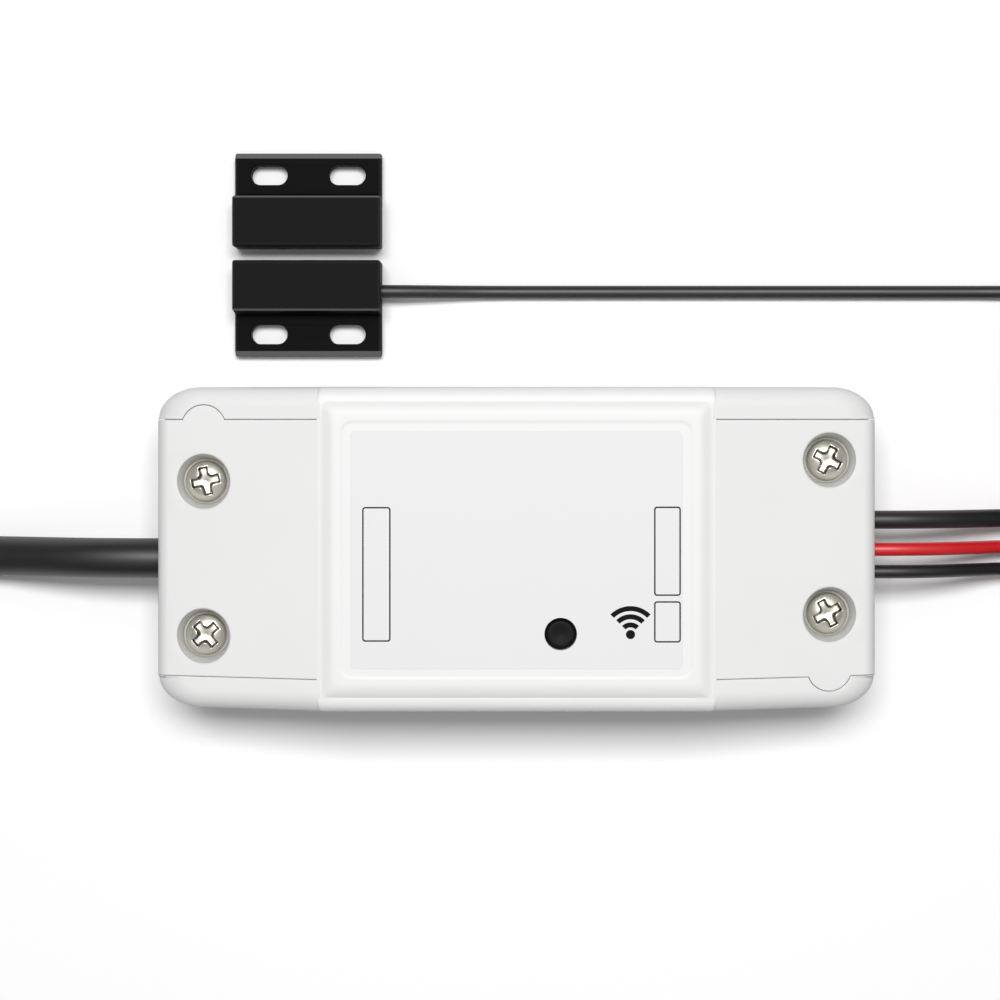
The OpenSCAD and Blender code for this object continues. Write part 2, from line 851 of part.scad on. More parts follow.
module reed_leads() {
    color("silver") {
        bore_x(reed_low - reed_lead_l, contact_lead_y, reed_z, reed_lead_d, reed_lead_l);
        bore_x(reed_low + reed_l, contact_lead_y, reed_z, reed_lead_d, reed_lead_l);
    }
}

module switch_potting() {
    color("dimgray") at_switch() contact_potting();
}

module mains_lead() {
    color("black") tube(concat(mains_route, lead_in(mains_coil_at)), mains_d, 10);
}

module mains_coil() {
    color("black") coil_tube(mains_coil_at);
}

module mains_tail() {
    color("black") tube(concat(lead_out(mains_coil_at), mains_tail_route, [plug_at]), mains_d, 10);
}

// Flat two-pin plug, pointing to -X from the end of its lead
module mains_plug() {
    color("black") translate(plug_at) mirror([1, 0, 0]) difference() {
        union() {
            rotate([0, 90, 0])
                rotate_extrude()
                    polygon([
                        [0, 0], [plug_relief_d[0] / 2, 0], [plug_relief_d[1] / 2, plug_relief_l],
                        [plug_relief_d[1] / 2, plug_relief_l + plug_shoulder],
                        [0, plug_relief_l + plug_shoulder]
                    ]);
            translate([plug_relief_l, 0, -plug_h / 2])
                linear_extrude(plug_h)
                    polygon([
                        [0, -plug_grip_w / 2], [plug_shoulder, -plug_grip_w / 2],
                        [plug_body_l - plug_shoulder, -plug_w / 2], [plug_body_l, -plug_w / 2],
                        [plug_body_l, plug_w / 2], [plug_body_l - plug_shoulder, plug_w / 2],
                        [plug_shoulder, plug_grip_w / 2], [0, plug_grip_w / 2]
                    ]);
        }
        for (s = [-1, 1])
            bore_x(
                plug_relief_l + plug_body_l - pin_hold, s * pin_spacing / 2, 0,
                pin_shank_d, pin_hold + over
            );
    }
}

module plug_pins() {
    color("silver") translate(plug_at) mirror([1, 0, 0])
        for (s = [-1, 1])
            translate([plug_relief_l + plug_body_l, s * pin_spacing / 2, 0])
                rotate([0, 90, 0]) {
                    translate([0, 0, -pin_hold]) cylinder(d = pin_shank_d, h = pin_hold + over);
                    cylinder(d = pin_d, h = pin_l - pin_d / 2);
                    translate([0, 0, pin_l - pin_d / 2]) sphere(d = pin_d);
                }
}

module sensor_pigtail() {
    color("black") tube(concat(pigtail_route, [socket_at]), pigtail_d, 8);
}

// One half of the in-line connector between the pigtail and the sensor lead
module connector_half() {
    rotate([90, 0, 90]) linear_extrude(connector_l) plan(connector_w, connector_w, connector_r);
}

module sensor_socket() {
    color("black") translate(socket_at) connector_half();
}

module sensor_plug() {
    color("black") translate(socket_at + [connector_l, 0, 0]) connector_half();
}

module sensor_lead() {
    straight = [contact_x + contact_l / 2 + 2, contact_lead_y, reed_z];
    color("black")
        tube(concat([switch_exit, straight], sensor_route, lead_in(sensor_coil_at)), wire_d, 8);
}

module sensor_coil() {
    color("black") coil_tube(sensor_coil_at);
}

module sensor_tail() {
    color("black") tube(concat(lead_out(sensor_coil_at), sensor_tail_route, [plug_end]), wire_d, 8);
}

// The short end of an output wire beyond its coil, down to the floor
function wire_tail(coil) =
    let (start = coil_end(coil))
    let (ahead = coil_heading(coil, coil_turns(coil)))
    [
        start,
        start + coil[1] * ahead,
        start + 0.5 * wire_tail_l * ahead - [0, 0, 0.5 * wire_tail_drop],
        start + 0.75 * wire_tail_l * ahead - [0, 0, wire_tail_drop],
        start + wire_tail_l * ahead - [0, 0, wire_tail_drop]
    ];

// The bare tinned end of an output wire
module wire_tip(coil) {
    tail = wire_tail(coil);
    end = tail[len(tail) - 1];
    ahead = along(tail, len(tail) - 1);
    tube([end, end + 0.5 * tip_l * ahead, end + tip_l * ahead], tip_d, 8);
}

module red_wire() {
    color("red") tube(concat(red_route, lead_in(red_coil_at)), wire_d, 8);
}

module red_coil() {
    color("red") coil_tube(red_coil_at);
}

module red_tail() {
    color("red") tube(wire_tail(red_coil_at), wire_d, 8);
}

module red_tip() {
    color("silver") wire_tip(red_coil_at);
}

module black_wire() {
    color("black") tube(concat(black_route, lead_in(black_coil_at)), wire_d, 8);
}

module black_coil() {
    color("black") coil_tube(black_coil_at);
}

module black_tail() {
    color("black") tube(wire_tail(black_coil_at), wire_d, 8);
}

module black_tip() {
    color("silver") wire_tip(black_coil_at);
}

module coil_ties() {
    color("black") {
        coil_tie(mains_coil_at, 120);
        for (coil = [sensor_coil_at, red_coil_at, black_coil_at]) coil_tie(coil, 0);
    }
}

module print_gap(name, coil) {
    echo(str(name, " coil, least gap to itself in mm: ", least_gap(coil_path(coil), coil[1])));
}

print_gap("mains", mains_coil_at);
print_gap("sensor", sensor_coil_at);
print_gap("red", red_coil_at);
print_gap("black", black_coil_at);

base_shell();
top_cover();
input_end_cover();
output_end_cover();
cover_screws();
label_panel();
pairing_button();
tact_plunger();
tact_switch();
status_led();
circuit_board();
relay();
transformer();
bulk_capacitor();
varistor();
fuse_resistor();
bridge_rectifier();
wifi_board();
wifi_shield();
input_terminals();
output_terminals();
terminal_screws();
live_core();
neutral_core();
sensor_cores();
magnet_housing();
bar_magnet();
magnet_potting();
switch_housing();
reed_capsule();
reed_leads();
switch_potting();
mains_lead();
mains_coil();
mains_tail();
mains_plug();
plug_pins();
sensor_pigtail();
sensor_socket();
sensor_plug();
sensor_lead();
sensor_coil();
sensor_tail();
red_wire();
red_coil();
red_tail();
red_tip();
black_wire();
black_coil();
black_tail();
black_tip();
coil_ties();
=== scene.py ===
"""Looks of a garage door controller: a white relay box with its leads and a magnetic door contact.

Sizes in the sections are in millimetres and go into the meshes in metres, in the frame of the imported
model: +X to the output end, +Y to the door contact, +Z up, with the origin under the middle of the box.
"""
from dataclasses import dataclass

import bmesh
import bpy
import numpy as np
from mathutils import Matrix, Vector
from mathutils.geometry import tessellate_polygon


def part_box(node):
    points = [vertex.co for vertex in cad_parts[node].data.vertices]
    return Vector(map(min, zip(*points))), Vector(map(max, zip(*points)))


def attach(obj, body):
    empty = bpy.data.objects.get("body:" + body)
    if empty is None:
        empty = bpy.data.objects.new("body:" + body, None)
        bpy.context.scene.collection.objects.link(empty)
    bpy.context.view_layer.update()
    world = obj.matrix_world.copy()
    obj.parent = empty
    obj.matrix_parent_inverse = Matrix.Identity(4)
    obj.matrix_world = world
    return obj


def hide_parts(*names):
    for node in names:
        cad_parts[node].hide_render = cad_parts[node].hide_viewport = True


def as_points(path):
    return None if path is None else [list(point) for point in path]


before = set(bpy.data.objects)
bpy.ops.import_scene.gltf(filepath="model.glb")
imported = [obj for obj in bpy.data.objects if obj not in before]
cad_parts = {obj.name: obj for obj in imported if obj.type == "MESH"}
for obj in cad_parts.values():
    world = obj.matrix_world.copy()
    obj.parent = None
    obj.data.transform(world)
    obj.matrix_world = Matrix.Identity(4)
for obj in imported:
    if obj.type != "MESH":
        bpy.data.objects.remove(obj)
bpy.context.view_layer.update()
scene = bpy.context.scene
scene.view_settings.view_transform = "Standard"

# The camera looks straight down from a third of a metre, over a point between the box and the door
# contact. Its frame is shifted so that the two sit in the picture as they do in the photograph.
mm = 0.001
image_px = 1000
focal_px = 2502.5
axis_px = (516.5, 419)
sensor_mm = 36
near_limit = 10
camera_place = (0, 15.7, 323)
camera_data = bpy.data.cameras.new("camera_above")
camera_data.sensor_width = sensor_mm
camera_data.lens = sensor_mm * focal_px / image_px
camera_data.shift_x = 0.5 - axis_px[0] / image_px
camera_data.shift_y = axis_px[1] / image_px - 0.5
camera_data.clip_start = near_limit * mm
camera = bpy.data.objects.new("camera_above", camera_data)
camera.location = Vector(camera_place) * mm
scene.collection.objects.link(camera)
scene.camera = camera

# The floor is a sheet of white card. The camera sees it white, in mirrors and through glass too, and the
# light that it throws back on the object is that of greyer card.
floor_half = 3000
floor_z = -0.05
card_grey = (0.5, 0.5, 0.5)
white = (1, 1, 1)
floor_corners = Vector((floor_half, floor_half, floor_z)) * mm
floor_mesh = bpy.data.meshes.new("floor")
floor_mesh.from_pydata(
    [floor_corners * Vector((x, y, 1)) for x, y in ((-1, -1), (1, -1), (1, 1), (-1, 1))], [], [(0, 1, 2, 3)]
)
floor = bpy.data.objects.new("floor", floor_mesh)
scene.collection.objects.link(floor)


def feed(tree, node, inputs):
    """Gives inputs of a node, by name or number, a link from a socket or a constant. A colour has three
    numbers."""
    for key, value in inputs.items():
        socket = node.inputs[key]
        if isinstance(value, bpy.types.NodeSocket):
            tree.links.new(value, socket)
        elif socket.type == "RGBA":
            socket.default_value = (*value, 1)
        else:
            socket.default_value = value


def add_node(tree, kind, inputs):
    """A new shader node of a kind with its inputs fed."""
    node = tree.nodes.new("ShaderNode" + kind)
    feed(tree, node, inputs)
    return node


def colour_mix(tree, factor, first, second):
    """The mix of two colours, each three numbers or a socket, by a factor's socket."""
    mix = tree.nodes.new("ShaderNodeMix")
    mix.data_type = "RGBA"
    feed(tree, mix, {"Factor": factor, "A": first, "B": second})
    return mix.outputs["Result"]


def seen_directly(tree):
    """Math nodes that give 1 for camera, mirror and glass rays, and 0 for the light that bounces about."""
    rays = tree.nodes.new("ShaderNodeLightPath").outputs
    seen = rays["Is Camera Ray"]
    for ray in ("Is Glossy Ray", "Is Transmission Ray"):
        either = add_node(tree, "Math", {0: seen, 1: rays[ray]})
        either.operation = "MAXIMUM"
        seen = either.outputs[0]
    return seen


card = bpy.data.materials.new("white_card")
card.use_nodes = True
card_tree = card.node_tree
feed(card_tree, card_tree.nodes["Principled BSDF"], {
    "Base Color": colour_mix(card_tree, seen_directly(card_tree), card_grey, white),
    "Roughness": 1,
    "Specular IOR Level": 0,
})
floor_mesh.materials.append(card)

# Studio light: a room with a pale ceiling and dim walls, and one soft box overhead, a little to the north,
# so that a narrow shadow falls along the south side of the box.
wall_light = 0.08
ceiling_light = 0.6
ceiling_from = 0.5
lamp_place = (0, 270, 1000)
lamp_size = (500, 240)
lamp_power = 8.3
world = bpy.data.worlds.new("pale_room")
scene.world = world
world.use_nodes = True
world_tree = world.node_tree
room_direction = world_tree.nodes.new("ShaderNodeTexCoord").outputs["Generated"]
room_height = add_node(world_tree, "SeparateXYZ", {"Vector": room_direction}).outputs["Z"]
room_level = add_node(world_tree, "MapRange", {
    "Value": room_height, "From Min": ceiling_from, "To Min": wall_light, "To Max": ceiling_light,
})
feed(world_tree, world_tree.nodes["Background"], {"Color": white, "Strength": room_level.outputs["Result"]})
lamp_data = bpy.data.lights.new("soft_box_overhead", "AREA")
lamp_data.shape = "RECTANGLE"
lamp_data.size = lamp_size[0] * mm
lamp_data.size_y = lamp_size[1] * mm
lamp_data.energy = lamp_power
lamp = bpy.data.objects.new("soft_box_overhead", lamp_data)
lamp.location = Vector(lamp_place) * mm
lamp.rotation_euler = (-lamp.location).to_track_quat("-Z", "Y").to_euler()
scene.collection.objects.link(lamp)

# Base shell: the lower half of the white case, injection moulded in matt ABS. Its rim carries the covers,
# and half of each lead's round entry is cut into the rim at the ends.
case_half_l = -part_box("base_shell")[0].x / mm
case_half_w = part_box("base_shell")[1].y / mm
split_z = 10
case_wall = 2
case_floor = 2
corner_x, corner_y = 5.4, 3.8
floor_edge_r = 0.8
rim_edge_r = 0.2
mains_y = -1.7
pigtail_y = 3.1
red_y = -0.6
black_y = -3.4
lead_entries = {-1: [(mains_y, 2.6)], 1: [(pigtail_y, 1.25), (red_y, 0.95), (black_y, 0.95)]}
entry_margin = 0.5
case_counts = (170, 12, 12)
edge_points = 6
join_gap = 1e-7


def edge_steps(radius, count=edge_points):
    """Steps round an edge of a radius: pairs that grow as r * (1 - cos t) and dwindle as r * (1 - sin t)."""
    t = np.radians(np.linspace(0, 90, count))
    return radius * np.stack([1 - np.cos(t), 1 - np.sin(t)], 1)


def plan_loop(low, high, radius, counts):
    """A rectangle from its low to its high corner with round corners, anticlockwise from the +X side:
    straight runs in even steps, and quarters of an ellipse (rx * cos a, ry * sin a) between them. radius is
    one number or the pair rx, ry, and counts are the points on an end, a side and a corner."""
    (x0, y0), (x1, y1) = low, high
    rx, ry = np.broadcast_to(radius, 2)
    on_end, on_side, on_corner = [np.arange(count) / count for count in counts]
    ends = (on_end[:, None] - 0.5) * [[0, y1 - y0 - 2 * ry]]
    sides = (on_side[:, None] - 0.5) * [[x0 - x1 + 2 * rx, 0]]
    middle_x, middle_y = (x0 + x1) / 2, (y0 + y1) / 2
    turn = on_corner * np.pi / 2
    first = np.stack([rx * np.cos(turn), ry * np.sin(turn)], 1)
    second = np.stack([-rx * np.sin(turn), ry * np.cos(turn)], 1)
    return np.concatenate([
        ends + [x1, middle_y], first + [x1 - rx, y1 - ry],
        sides + [middle_x, y1], second + [x0 + rx, y1 - ry],
        [x0, middle_y] - ends, [x0 + rx, y0 + ry] - first,
        [middle_x, y0] - sides, [x1 - rx, y0 + ry] - second,
    ])


def at_height(outline, z):
    """A plan outline lifted to a height, or to one height for each point."""
    return np.column_stack([outline, np.broadcast_to(z, len(outline))])


def entry_depth(outline):
    """How far the lead entries cut into the ends at points of an outline: sqrt(r^2 - (y - middle)^2)."""
    x, y = outline.T
    depth = np.zeros(len(outline))
    for side, entries in lead_entries.items():
        at_end = x * side > case_half_l - case_wall - entry_margin
        for middle, radius in entries:
            half_round = np.sqrt(np.clip(radius**2 - (y - middle) ** 2, 0, None))
            depth = np.maximum(depth, at_end * half_round)
    return depth


def loft(loops, capped=True, ring=False):
    """Quads between neighbouring closed loops of equal count, with the first and last loop closed by a
    face, or joined to each other for a ring. Loops that run anticlockwise and climb give faces that point
    outwards."""
    rows, count = len(loops), len(loops[0])
    row, k = np.meshgrid(np.arange(rows if ring else rows - 1), np.arange(count), indexing="ij")
    after, beside = (row + 1) % rows, (k + 1) % count
    quads = np.stack([row * count + k, row * count + beside, after * count + beside, after * count + k], -1)
    faces = quads.reshape(-1, 4).tolist()
    if capped and not ring:
        faces.append(list(range(count))[::-1])
        faces.append(list(range((rows - 1) * count, rows * count)))
    return np.concatenate(loops), faces


def make_piece(name, shells, material, body, nodes, crease=35, painted_light=None):
    """One object at the origin from shells of points in millimetres and faces, smooth where faces meet at
    less than the crease angle, in one material. It rides on a body, in place of the CAD nodes. Its last
    argument is an optional mask of painted light and shade, with one value for each face."""
    points, faces = [], []
    for shell_points, shell_faces in shells:
        start = sum(len(p) for p in points)
        points.append(np.asarray(shell_points, float))
        faces.extend([[start + i for i in face] for face in shell_faces])
    mesh = bpy.data.meshes.new(name)
    mesh.from_pydata((np.concatenate(points) * mm).tolist(), [], faces)
    # The mask of painted light and shade goes on the faces as an attribute.
    if painted_light is not None:
        mesh.attributes.new("painted_light", "FLOAT", "FACE").data.foreach_set("value", np.asarray(painted_light, np.float32))
    shape = bmesh.new()
    shape.from_mesh(mesh)
    bmesh.ops.remove_doubles(shape, verts=shape.verts, dist=join_gap)
    shape.to_mesh(mesh)
    shape.free()
    mesh.polygons.foreach_set("use_smooth", np.ones(len(mesh.polygons), bool))
    mesh.set_sharp_from_angle(angle=np.radians(crease))
    mesh.materials.append(material)
    piece = bpy.data.objects.new(name, mesh)
    scene.collection.objects.link(piece)
    even = piece.modifiers.new("even_shading", "WEIGHTED_NORMAL")
    even.keep_sharp = True
    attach(piece, body)
    if nodes:
        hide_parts(*nodes)
    return piece


def surface_group(name):
    """An empty shader group with a Scale input and the outputs Height and Mottle. Gives it with its place in
    Object coordinates, its scale and its output node."""
    group = bpy.data.node_groups.new(name, "ShaderNodeTree")
    group.interface.new_socket("Scale", in_out="INPUT", socket_type="NodeSocketFloat")
    for output in ("Height", "Mottle"):
        group.interface.new_socket(output, in_out="OUTPUT", socket_type="NodeSocketFloat")
    place = group.nodes.new("ShaderNodeTexCoord").outputs["Object"]
    scale = group.nodes.new("NodeGroupInput").outputs["Scale"]
    return group, place, scale, group.nodes.new("NodeGroupOutput")


def noise(tree, vector, scale, detail):
    """The value of a noise texture; scale is a number or a socket."""
    texture = add_node(tree, "TexNoise", {"Vector": vector, "Scale": scale, "Detail": detail})
    return texture.outputs["Fac"]


# Moulded skin: the fine spark grain of a mould in Height, and a slow unevenness in Mottle.
skin_group, skin_place, skin_scale, skin_out = surface_group("moulded_skin")
feed(skin_group, skin_out, {
    "Height": noise(skin_group, skin_place, skin_scale, detail=3),
    "Mottle": noise(skin_group, skin_place, scale=90, detail=4),
})


def finished(name, group, scale, dark, pale, roughness, grain, shine=0.5):
    """A material whose colour and roughness drift with a group's Mottle and whose Height raises a bump.
    dark and pale are the ends of the colour, roughness its two ends, grain the bump's strength and its
    height in millimetres, and shine the level of the reflection, 0.5 for common plastic."""
    material = bpy.data.materials.new(name)
    material.use_nodes = True
    tree = material.node_tree
    skin = tree.nodes.new("ShaderNodeGroup")
    skin.node_tree = group
    skin.inputs["Scale"].default_value = scale
    mottle = skin.outputs["Mottle"]
    rough = add_node(tree, "MapRange", {"Value": mottle, "To Min": roughness[0], "To Max": roughness[1]})
    relief = add_node(tree, "Bump", {
        "Height": skin.outputs["Height"], "Strength": grain[0], "Distance": grain[1] * mm,
    })
    feed(tree, tree.nodes["Principled BSDF"], {
        "Base Color": colour_mix(tree, mottle, dark, pale),
        "Roughness": rough.outputs["Result"],
        "Normal": relief.outputs["Normal"],
        "Specular IOR Level": shine,
    })
    return material


def tint_painted_light(material, tone):
    """Lets a piece's mask of painted shade and highlight turn a material's colour to a painted tone."""
    tree = material.node_tree
    shader = tree.nodes["Principled BSDF"]
    mask = tree.nodes.new("ShaderNodeAttribute")
    mask.attribute_name = "painted_light"
    clean = shader.inputs["Base Color"].links[0].from_socket
    feed(tree, shader, {"Base Color": colour_mix(tree, mask.outputs["Fac"], clean, tone)})


def case_loop(inset, z, dips=False):
    """The case's outline moved in by an inset at a height, dipping under the lead entries on the rim."""
    half = np.array([case_half_l, case_half_w]) - inset
    outline = plan_loop(-half, half, (corner_x - inset, corner_y - inset), case_counts)
    return at_height(outline, z - entry_depth(outline) if dips else z)


case_white = finished(
    "case_white", skin_group, 1900, (0.82, 0.82, 0.815), (0.85, 0.85, 0.845), (0.46, 0.56), (0.12, 0.03)
)
# Warm grey painted shade for the end covers' screw sinks, where their mask says.
tint_painted_light(case_white, (0.40, 0.385, 0.34))
base_loops = [case_loop(left, grown) for grown, left in edge_steps(floor_edge_r)]
base_loops += [case_loop(grown, split_z - left, True) for grown, left in edge_steps(rim_edge_r)]
base_loops += [case_loop(case_wall, split_z, True), case_loop(case_wall, case_floor)]
make_piece("base_shell_skin", [loft(base_loops)], case_white, "controller", ["base_shell"])

# Top cover: one white moulding, with the raised middle that carries the label and four low cheeks beside
# the end covers. It snaps on to the base; steps and edges are rounded off by the mould.
saddle_half = 24
saddle_top = 23
ramp_top = 22.4
ramp_slope = 0.27
saddle_under = 21
saddle_inner = (23.2, 16.6)
saddle_corner_r = 0.6
ledge_w = 1.8
ledge_r = 1.5
saddle_r = 3
saddle_crown_r = 0.9
crown_steps = 16
step_run = 2.2
recess_half = (20.75, 15.1)
recess_floor = 22.93
recess_run = 0.5
recess_corner_r = 1
recess_steps = 7
button_place = (5.3, -10.1)
button_hole_r = 1.95
side_r = 2.4
end_r = 1.5
seam = 0.06
seam_edge_r = 0.15
cover_half_w = 15.6
tab_place = (38.1, -14.6)
tab_r = 2.8
cheek_tuck = 0.4
cheek_counts = (12, 40, 30)
cheek_across = 26
corner_sweep = 88
panel_counts = (12, 16, 6)
ring_points = 48


def circle(place, radius, z, count=ring_points):
    """A level circle, anticlockwise: place + radius * (cos a, sin a)."""
    a = np.linspace(0, 2 * np.pi, count, endpoint=False)
    return at_height(np.array(place) + radius * np.stack([np.cos(a), np.sin(a)], 1), z)


def fall(distance, radius):
    """How far a rounded edge has fallen at a distance from it: r - sqrt(r^2 - (r - distance)^2)."""
    into = np.clip(radius - distance, 0, radius)
    return radius - np.sqrt(radius**2 - into**2)


def ramp_height(x):
    """Height of the slope from the raised middle to an end: top - slope * (|x| - half of the middle)."""
    return ramp_top - ramp_slope * (np.abs(x) - saddle_half)


def panel_loop(half, radius, z):
    """A rounded rectangle about the upright axis, from its half sizes, at a height."""
    return at_height(plan_loop(-np.array(half), np.array(half), radius, panel_counts), z)


def saddle_loop(inset_x, inset_y, z, radius=saddle_corner_r):
    """The raised middle's outline moved in by an inset each way, at a height."""
    return panel_loop((saddle_half - inset_x, case_half_w - inset_y), radius, z)


def step_inset(depth):
    """How far the step up to the raised middle has come in at a depth under its top: the step falls over
    its run as height * (1 - cos(pi * u)) / 2, so u = arccos(1 - 2 * depth / height) / pi."""
    u = np.arccos(1 - 2 * min(depth / (saddle_top - ramp_top), 1)) / np.pi
    return step_run * (1 - u)


def round_edge_hole(place, radius, edge_r, top, bottom):
    """Loops down a round hole whose upper edge is rounded off."""
    edge = [circle(place, radius + left, top - grown) for grown, left in edge_steps(edge_r)]
    return edge + [circle(place, radius, bottom)]


def fill(outer, holes, up=True):
    """A face inside an outer loop and round the holes in it, cut into triangles that point up or down."""
    points = np.concatenate([outer, *holes])
    plans = [at_height(loop[:, :2], 0).tolist() for loop in (outer, *holes)]
    triangles = np.array(tessellate_polygon(plans))
    a, b, c = points[triangles].transpose(1, 0, 2)[:, :, :2]
    turn = (b - a)[:, 0] * (c - a)[:, 1] - (b - a)[:, 1] * (c - a)[:, 0]
    wrong = (turn < 0) == up
    triangles[wrong] = triangles[wrong][:, ::-1]
    return points, triangles.tolist()


def pierced(loops, holes):
    """Shells of a body with holes through it: its walls, the holes' walls, and the faces above and below.
    The body's loops climb to its upper face, and each hole's loops go down from it."""
    walls = [loft(wall, capped=False) for wall in (loops, *holes)]
    upper = fill(loops[-1], [hole[0] for hole in holes])
    return walls + [upper, fill(loops[0], [hole[-1] for hole in holes], up=False)]


def block(x, y, top, low):
    """A closed block under a height field: grids x and y with heights on top, a flat underside and sides."""
    rows, count = x.shape
    upper = np.stack([x, y, top], -1).reshape(-1, 3)
    lower = np.stack([x, y, np.full_like(x, low)], -1).reshape(-1, 3)
    index = np.arange(rows * count).reshape(rows, count)
    quads = np.stack([index[:-1, :-1], index[1:, :-1], index[1:, 1:], index[:-1, 1:]], -1).reshape(-1, 4)
    rim = np.concatenate([index[:, 0], index[-1, 1:], index[-2::-1, -1], index[0, -2:0:-1]])
    foot = rim + rows * count
    sides = np.stack([foot, np.roll(foot, -1), np.roll(rim, -1), rim], -1)
    faces = np.concatenate([quads, (quads + rows * count)[:, ::-1], sides])
    return np.concatenate([upper, lower]), faces.tolist()


def cheek(notched):
    """The cheek on the +Y side of the output end: between the end cover's seam and the case's outline,
    under the slope, with round edges. A notched one leaves room for the end cover's tab."""
    slope_points, tab_arc_points, corner_arc_points = cheek_counts
    corner_arc = np.radians(np.linspace(0, corner_sweep, corner_arc_points))
    x = np.sort(np.concatenate([
        np.linspace(saddle_half - cheek_tuck, tab_place[0] - tab_r - cheek_tuck, slope_points),
        tab_place[0] - (tab_r + seam) * np.cos(np.linspace(0, np.pi, tab_arc_points)),
        case_half_l - corner_x * (1 - np.sin(corner_arc)),
    ]))[:, None]
    bend = np.clip((x - case_half_l) / corner_x + 1, 0, None)
    outer = case_half_w - corner_y + corner_y * np.sqrt(1 - bend**2)
    inner = np.full_like(x, cover_half_w + seam)
    if notched:
        reach = np.clip((tab_r + seam) ** 2 - (x - tab_place[0]) ** 2, 0, None)
        inner = np.maximum(inner, np.where(reach > 0, -tab_place[1] + np.sqrt(reach), 0))
    across = (1 - np.cos(np.linspace(0, np.pi, cheek_across))) / 2
    y = inner + (outer - inner) * across
    x = np.broadcast_to(x, y.shape)
    bend = np.broadcast_to(bend, y.shape)
    rise = np.clip((y - case_half_w) / corner_y + 1, 0, None)
    inwards = corner_y * (1 - np.hypot(bend, rise))
    in_corner = (bend > 0) & (rise > 0)
    to_side = np.where(in_corner, inwards, case_half_w - y)
    to_end = np.where(in_corner, inwards, case_half_l - x)
    drop = np.maximum(fall(to_side, side_r), fall(to_end, end_r))
    top = ramp_height(x) - np.maximum(drop, fall(y - inner, seam_edge_r))
    return block(x, y, top, split_z)


def turned(shell, side):
    """A shell turned half round about the upright axis for the input end, where side is -1."""
    points, faces = shell
    return points * [side, side, 1], faces


def mirrored(shell):
    """A shell mirrored to the -Y side, with its faces turned over to point outwards again."""
    points, faces = shell
    return points * [1, -1, 1], [face[::-1] for face in faces]


saddle_loops = [panel_loop(saddle_inner, saddle_corner_r, z) for z in (saddle_under, split_z)]
saddle_loops += [saddle_loop(left, left, split_z + grown) for grown, left in edge_steps(rim_edge_r)]
saddle_loops += [saddle_loop(0, grown, ramp_top - left) for grown, left in edge_steps(ledge_r)]
foot_angle = np.arccos(1 - (saddle_top - ramp_top) / saddle_r)
for t in np.linspace(foot_angle, 0, crown_steps):
    depth = saddle_r * (1 - np.cos(t))
    inset_y = ledge_w + saddle_r * (np.sin(foot_angle) - np.sin(t))
    saddle_loops.append(saddle_loop(step_inset(depth), inset_y, saddle_top - depth, saddle_crown_r))
for u in np.linspace(0, 1, recess_steps):
    grow = recess_run * (1 - u)
    sunk = (saddle_top - recess_floor) * (1 - np.cos(np.pi * u)) / 2
    saddle_loops.append(panel_loop(np.array(recess_half) + grow, recess_corner_r + grow, saddle_top - sunk))
button_hole = round_edge_hole(button_place, button_hole_r, seam_edge_r, recess_floor, saddle_under)
cover_shells = pierced(saddle_loops, [button_hole])
for side in (1, -1):
    cover_shells.append(turned(cheek(False), side))
    cover_shells.append(turned(mirrored(cheek(True)), side))
make_piece("top_cover_skin", cover_shells, case_white, "controller", ["top_cover"])

# End covers: two of the same white moulding over the terminals, the input one turned half round. Each lies
# in the slope between the cheeks, with a round tab at one side, and is held by two sunk screws.
cover_inner_x = (25.4, 42)
cover_inner_w = 14.9
cover_thick = 2
cover_corner_r = 0.3
cover_counts = (170, 30, 4)
cover_edge_points = 9
tuck = 0.3
tab_points = 22
after_tab = 2
screw_places = [(38.1, -8.1), (38.1, 10.7)]
sink_r = 3.3
sink_foot_r = 2.75
sink_edge_r = 0.2
sink_steps = 6
# Painted shade down the screw sinks: its share at the rim and at the foot.
sink_painted_shade = (0.1, 0.9)
seat_z = 15.2
shank_hole_r = 1.3
tower_r = 3.8
boss_z = 12.6


def cover_outline():
    """The plan of the output end cover, anticlockwise: a rectangle with the arc of the tab, place + radius *
    (cos a, sin a), let into its -Y side between two straight runs."""
    corners = (saddle_half - tuck, -cover_half_w), (case_half_l, cover_half_w)
    outline = plan_loop(*corners, cover_corner_r, cover_counts)
    side_points = cover_counts[1]
    first = len(outline) - side_points - cover_counts[2]
    rise = np.arcsin((cover_half_w + tab_place[1]) / tab_r)
    a = np.linspace(np.pi + rise, 2 * np.pi - rise, tab_points)
    tab = np.array(tab_place) + tab_r * np.stack([np.cos(a), np.sin(a)], 1)
    run_in = np.linspace(outline[first], tab[0], side_points - tab_points - after_tab, endpoint=False)
    run_out = np.linspace(tab[-1], outline[first + side_points], after_tab + 1)[1:]
    outline[first:first + side_points] = np.concatenate([run_in, tab, run_out])
    return outline


def moved_in(outline, inset):
    """An anticlockwise outline moved in along its own normals."""
    along = np.roll(outline, -1, 0) - np.roll(outline, 1, 0)
    along /= np.linalg.norm(along, axis=1)[:, None]
    return outline + inset * np.stack([-along[:, 1], along[:, 0]], 1)


def screw_well(place):
    """Loops down a screw's tapering sink, in over its seat, down the shank's hole and back up outside the
    tower."""
    loops = []
    for grown, left in edge_steps(sink_edge_r):
        ring = circle(place, sink_r + left, 0)
        loops.append(at_height(ring[:, :2], ramp_height(ring[:, 0]) - grown))
    loops += list(np.linspace(loops[-1], circle(place, sink_foot_r, seat_z), sink_steps + 1)[1:])
    loops += [circle(place, shank_hole_r, z) for z in (seat_z, boss_z)]
    tower = circle(place, tower_r, boss_z)
    under = at_height(tower[:, :2], ramp_height(tower[:, 0]) - cover_thick)
    return loops + [tower, under]


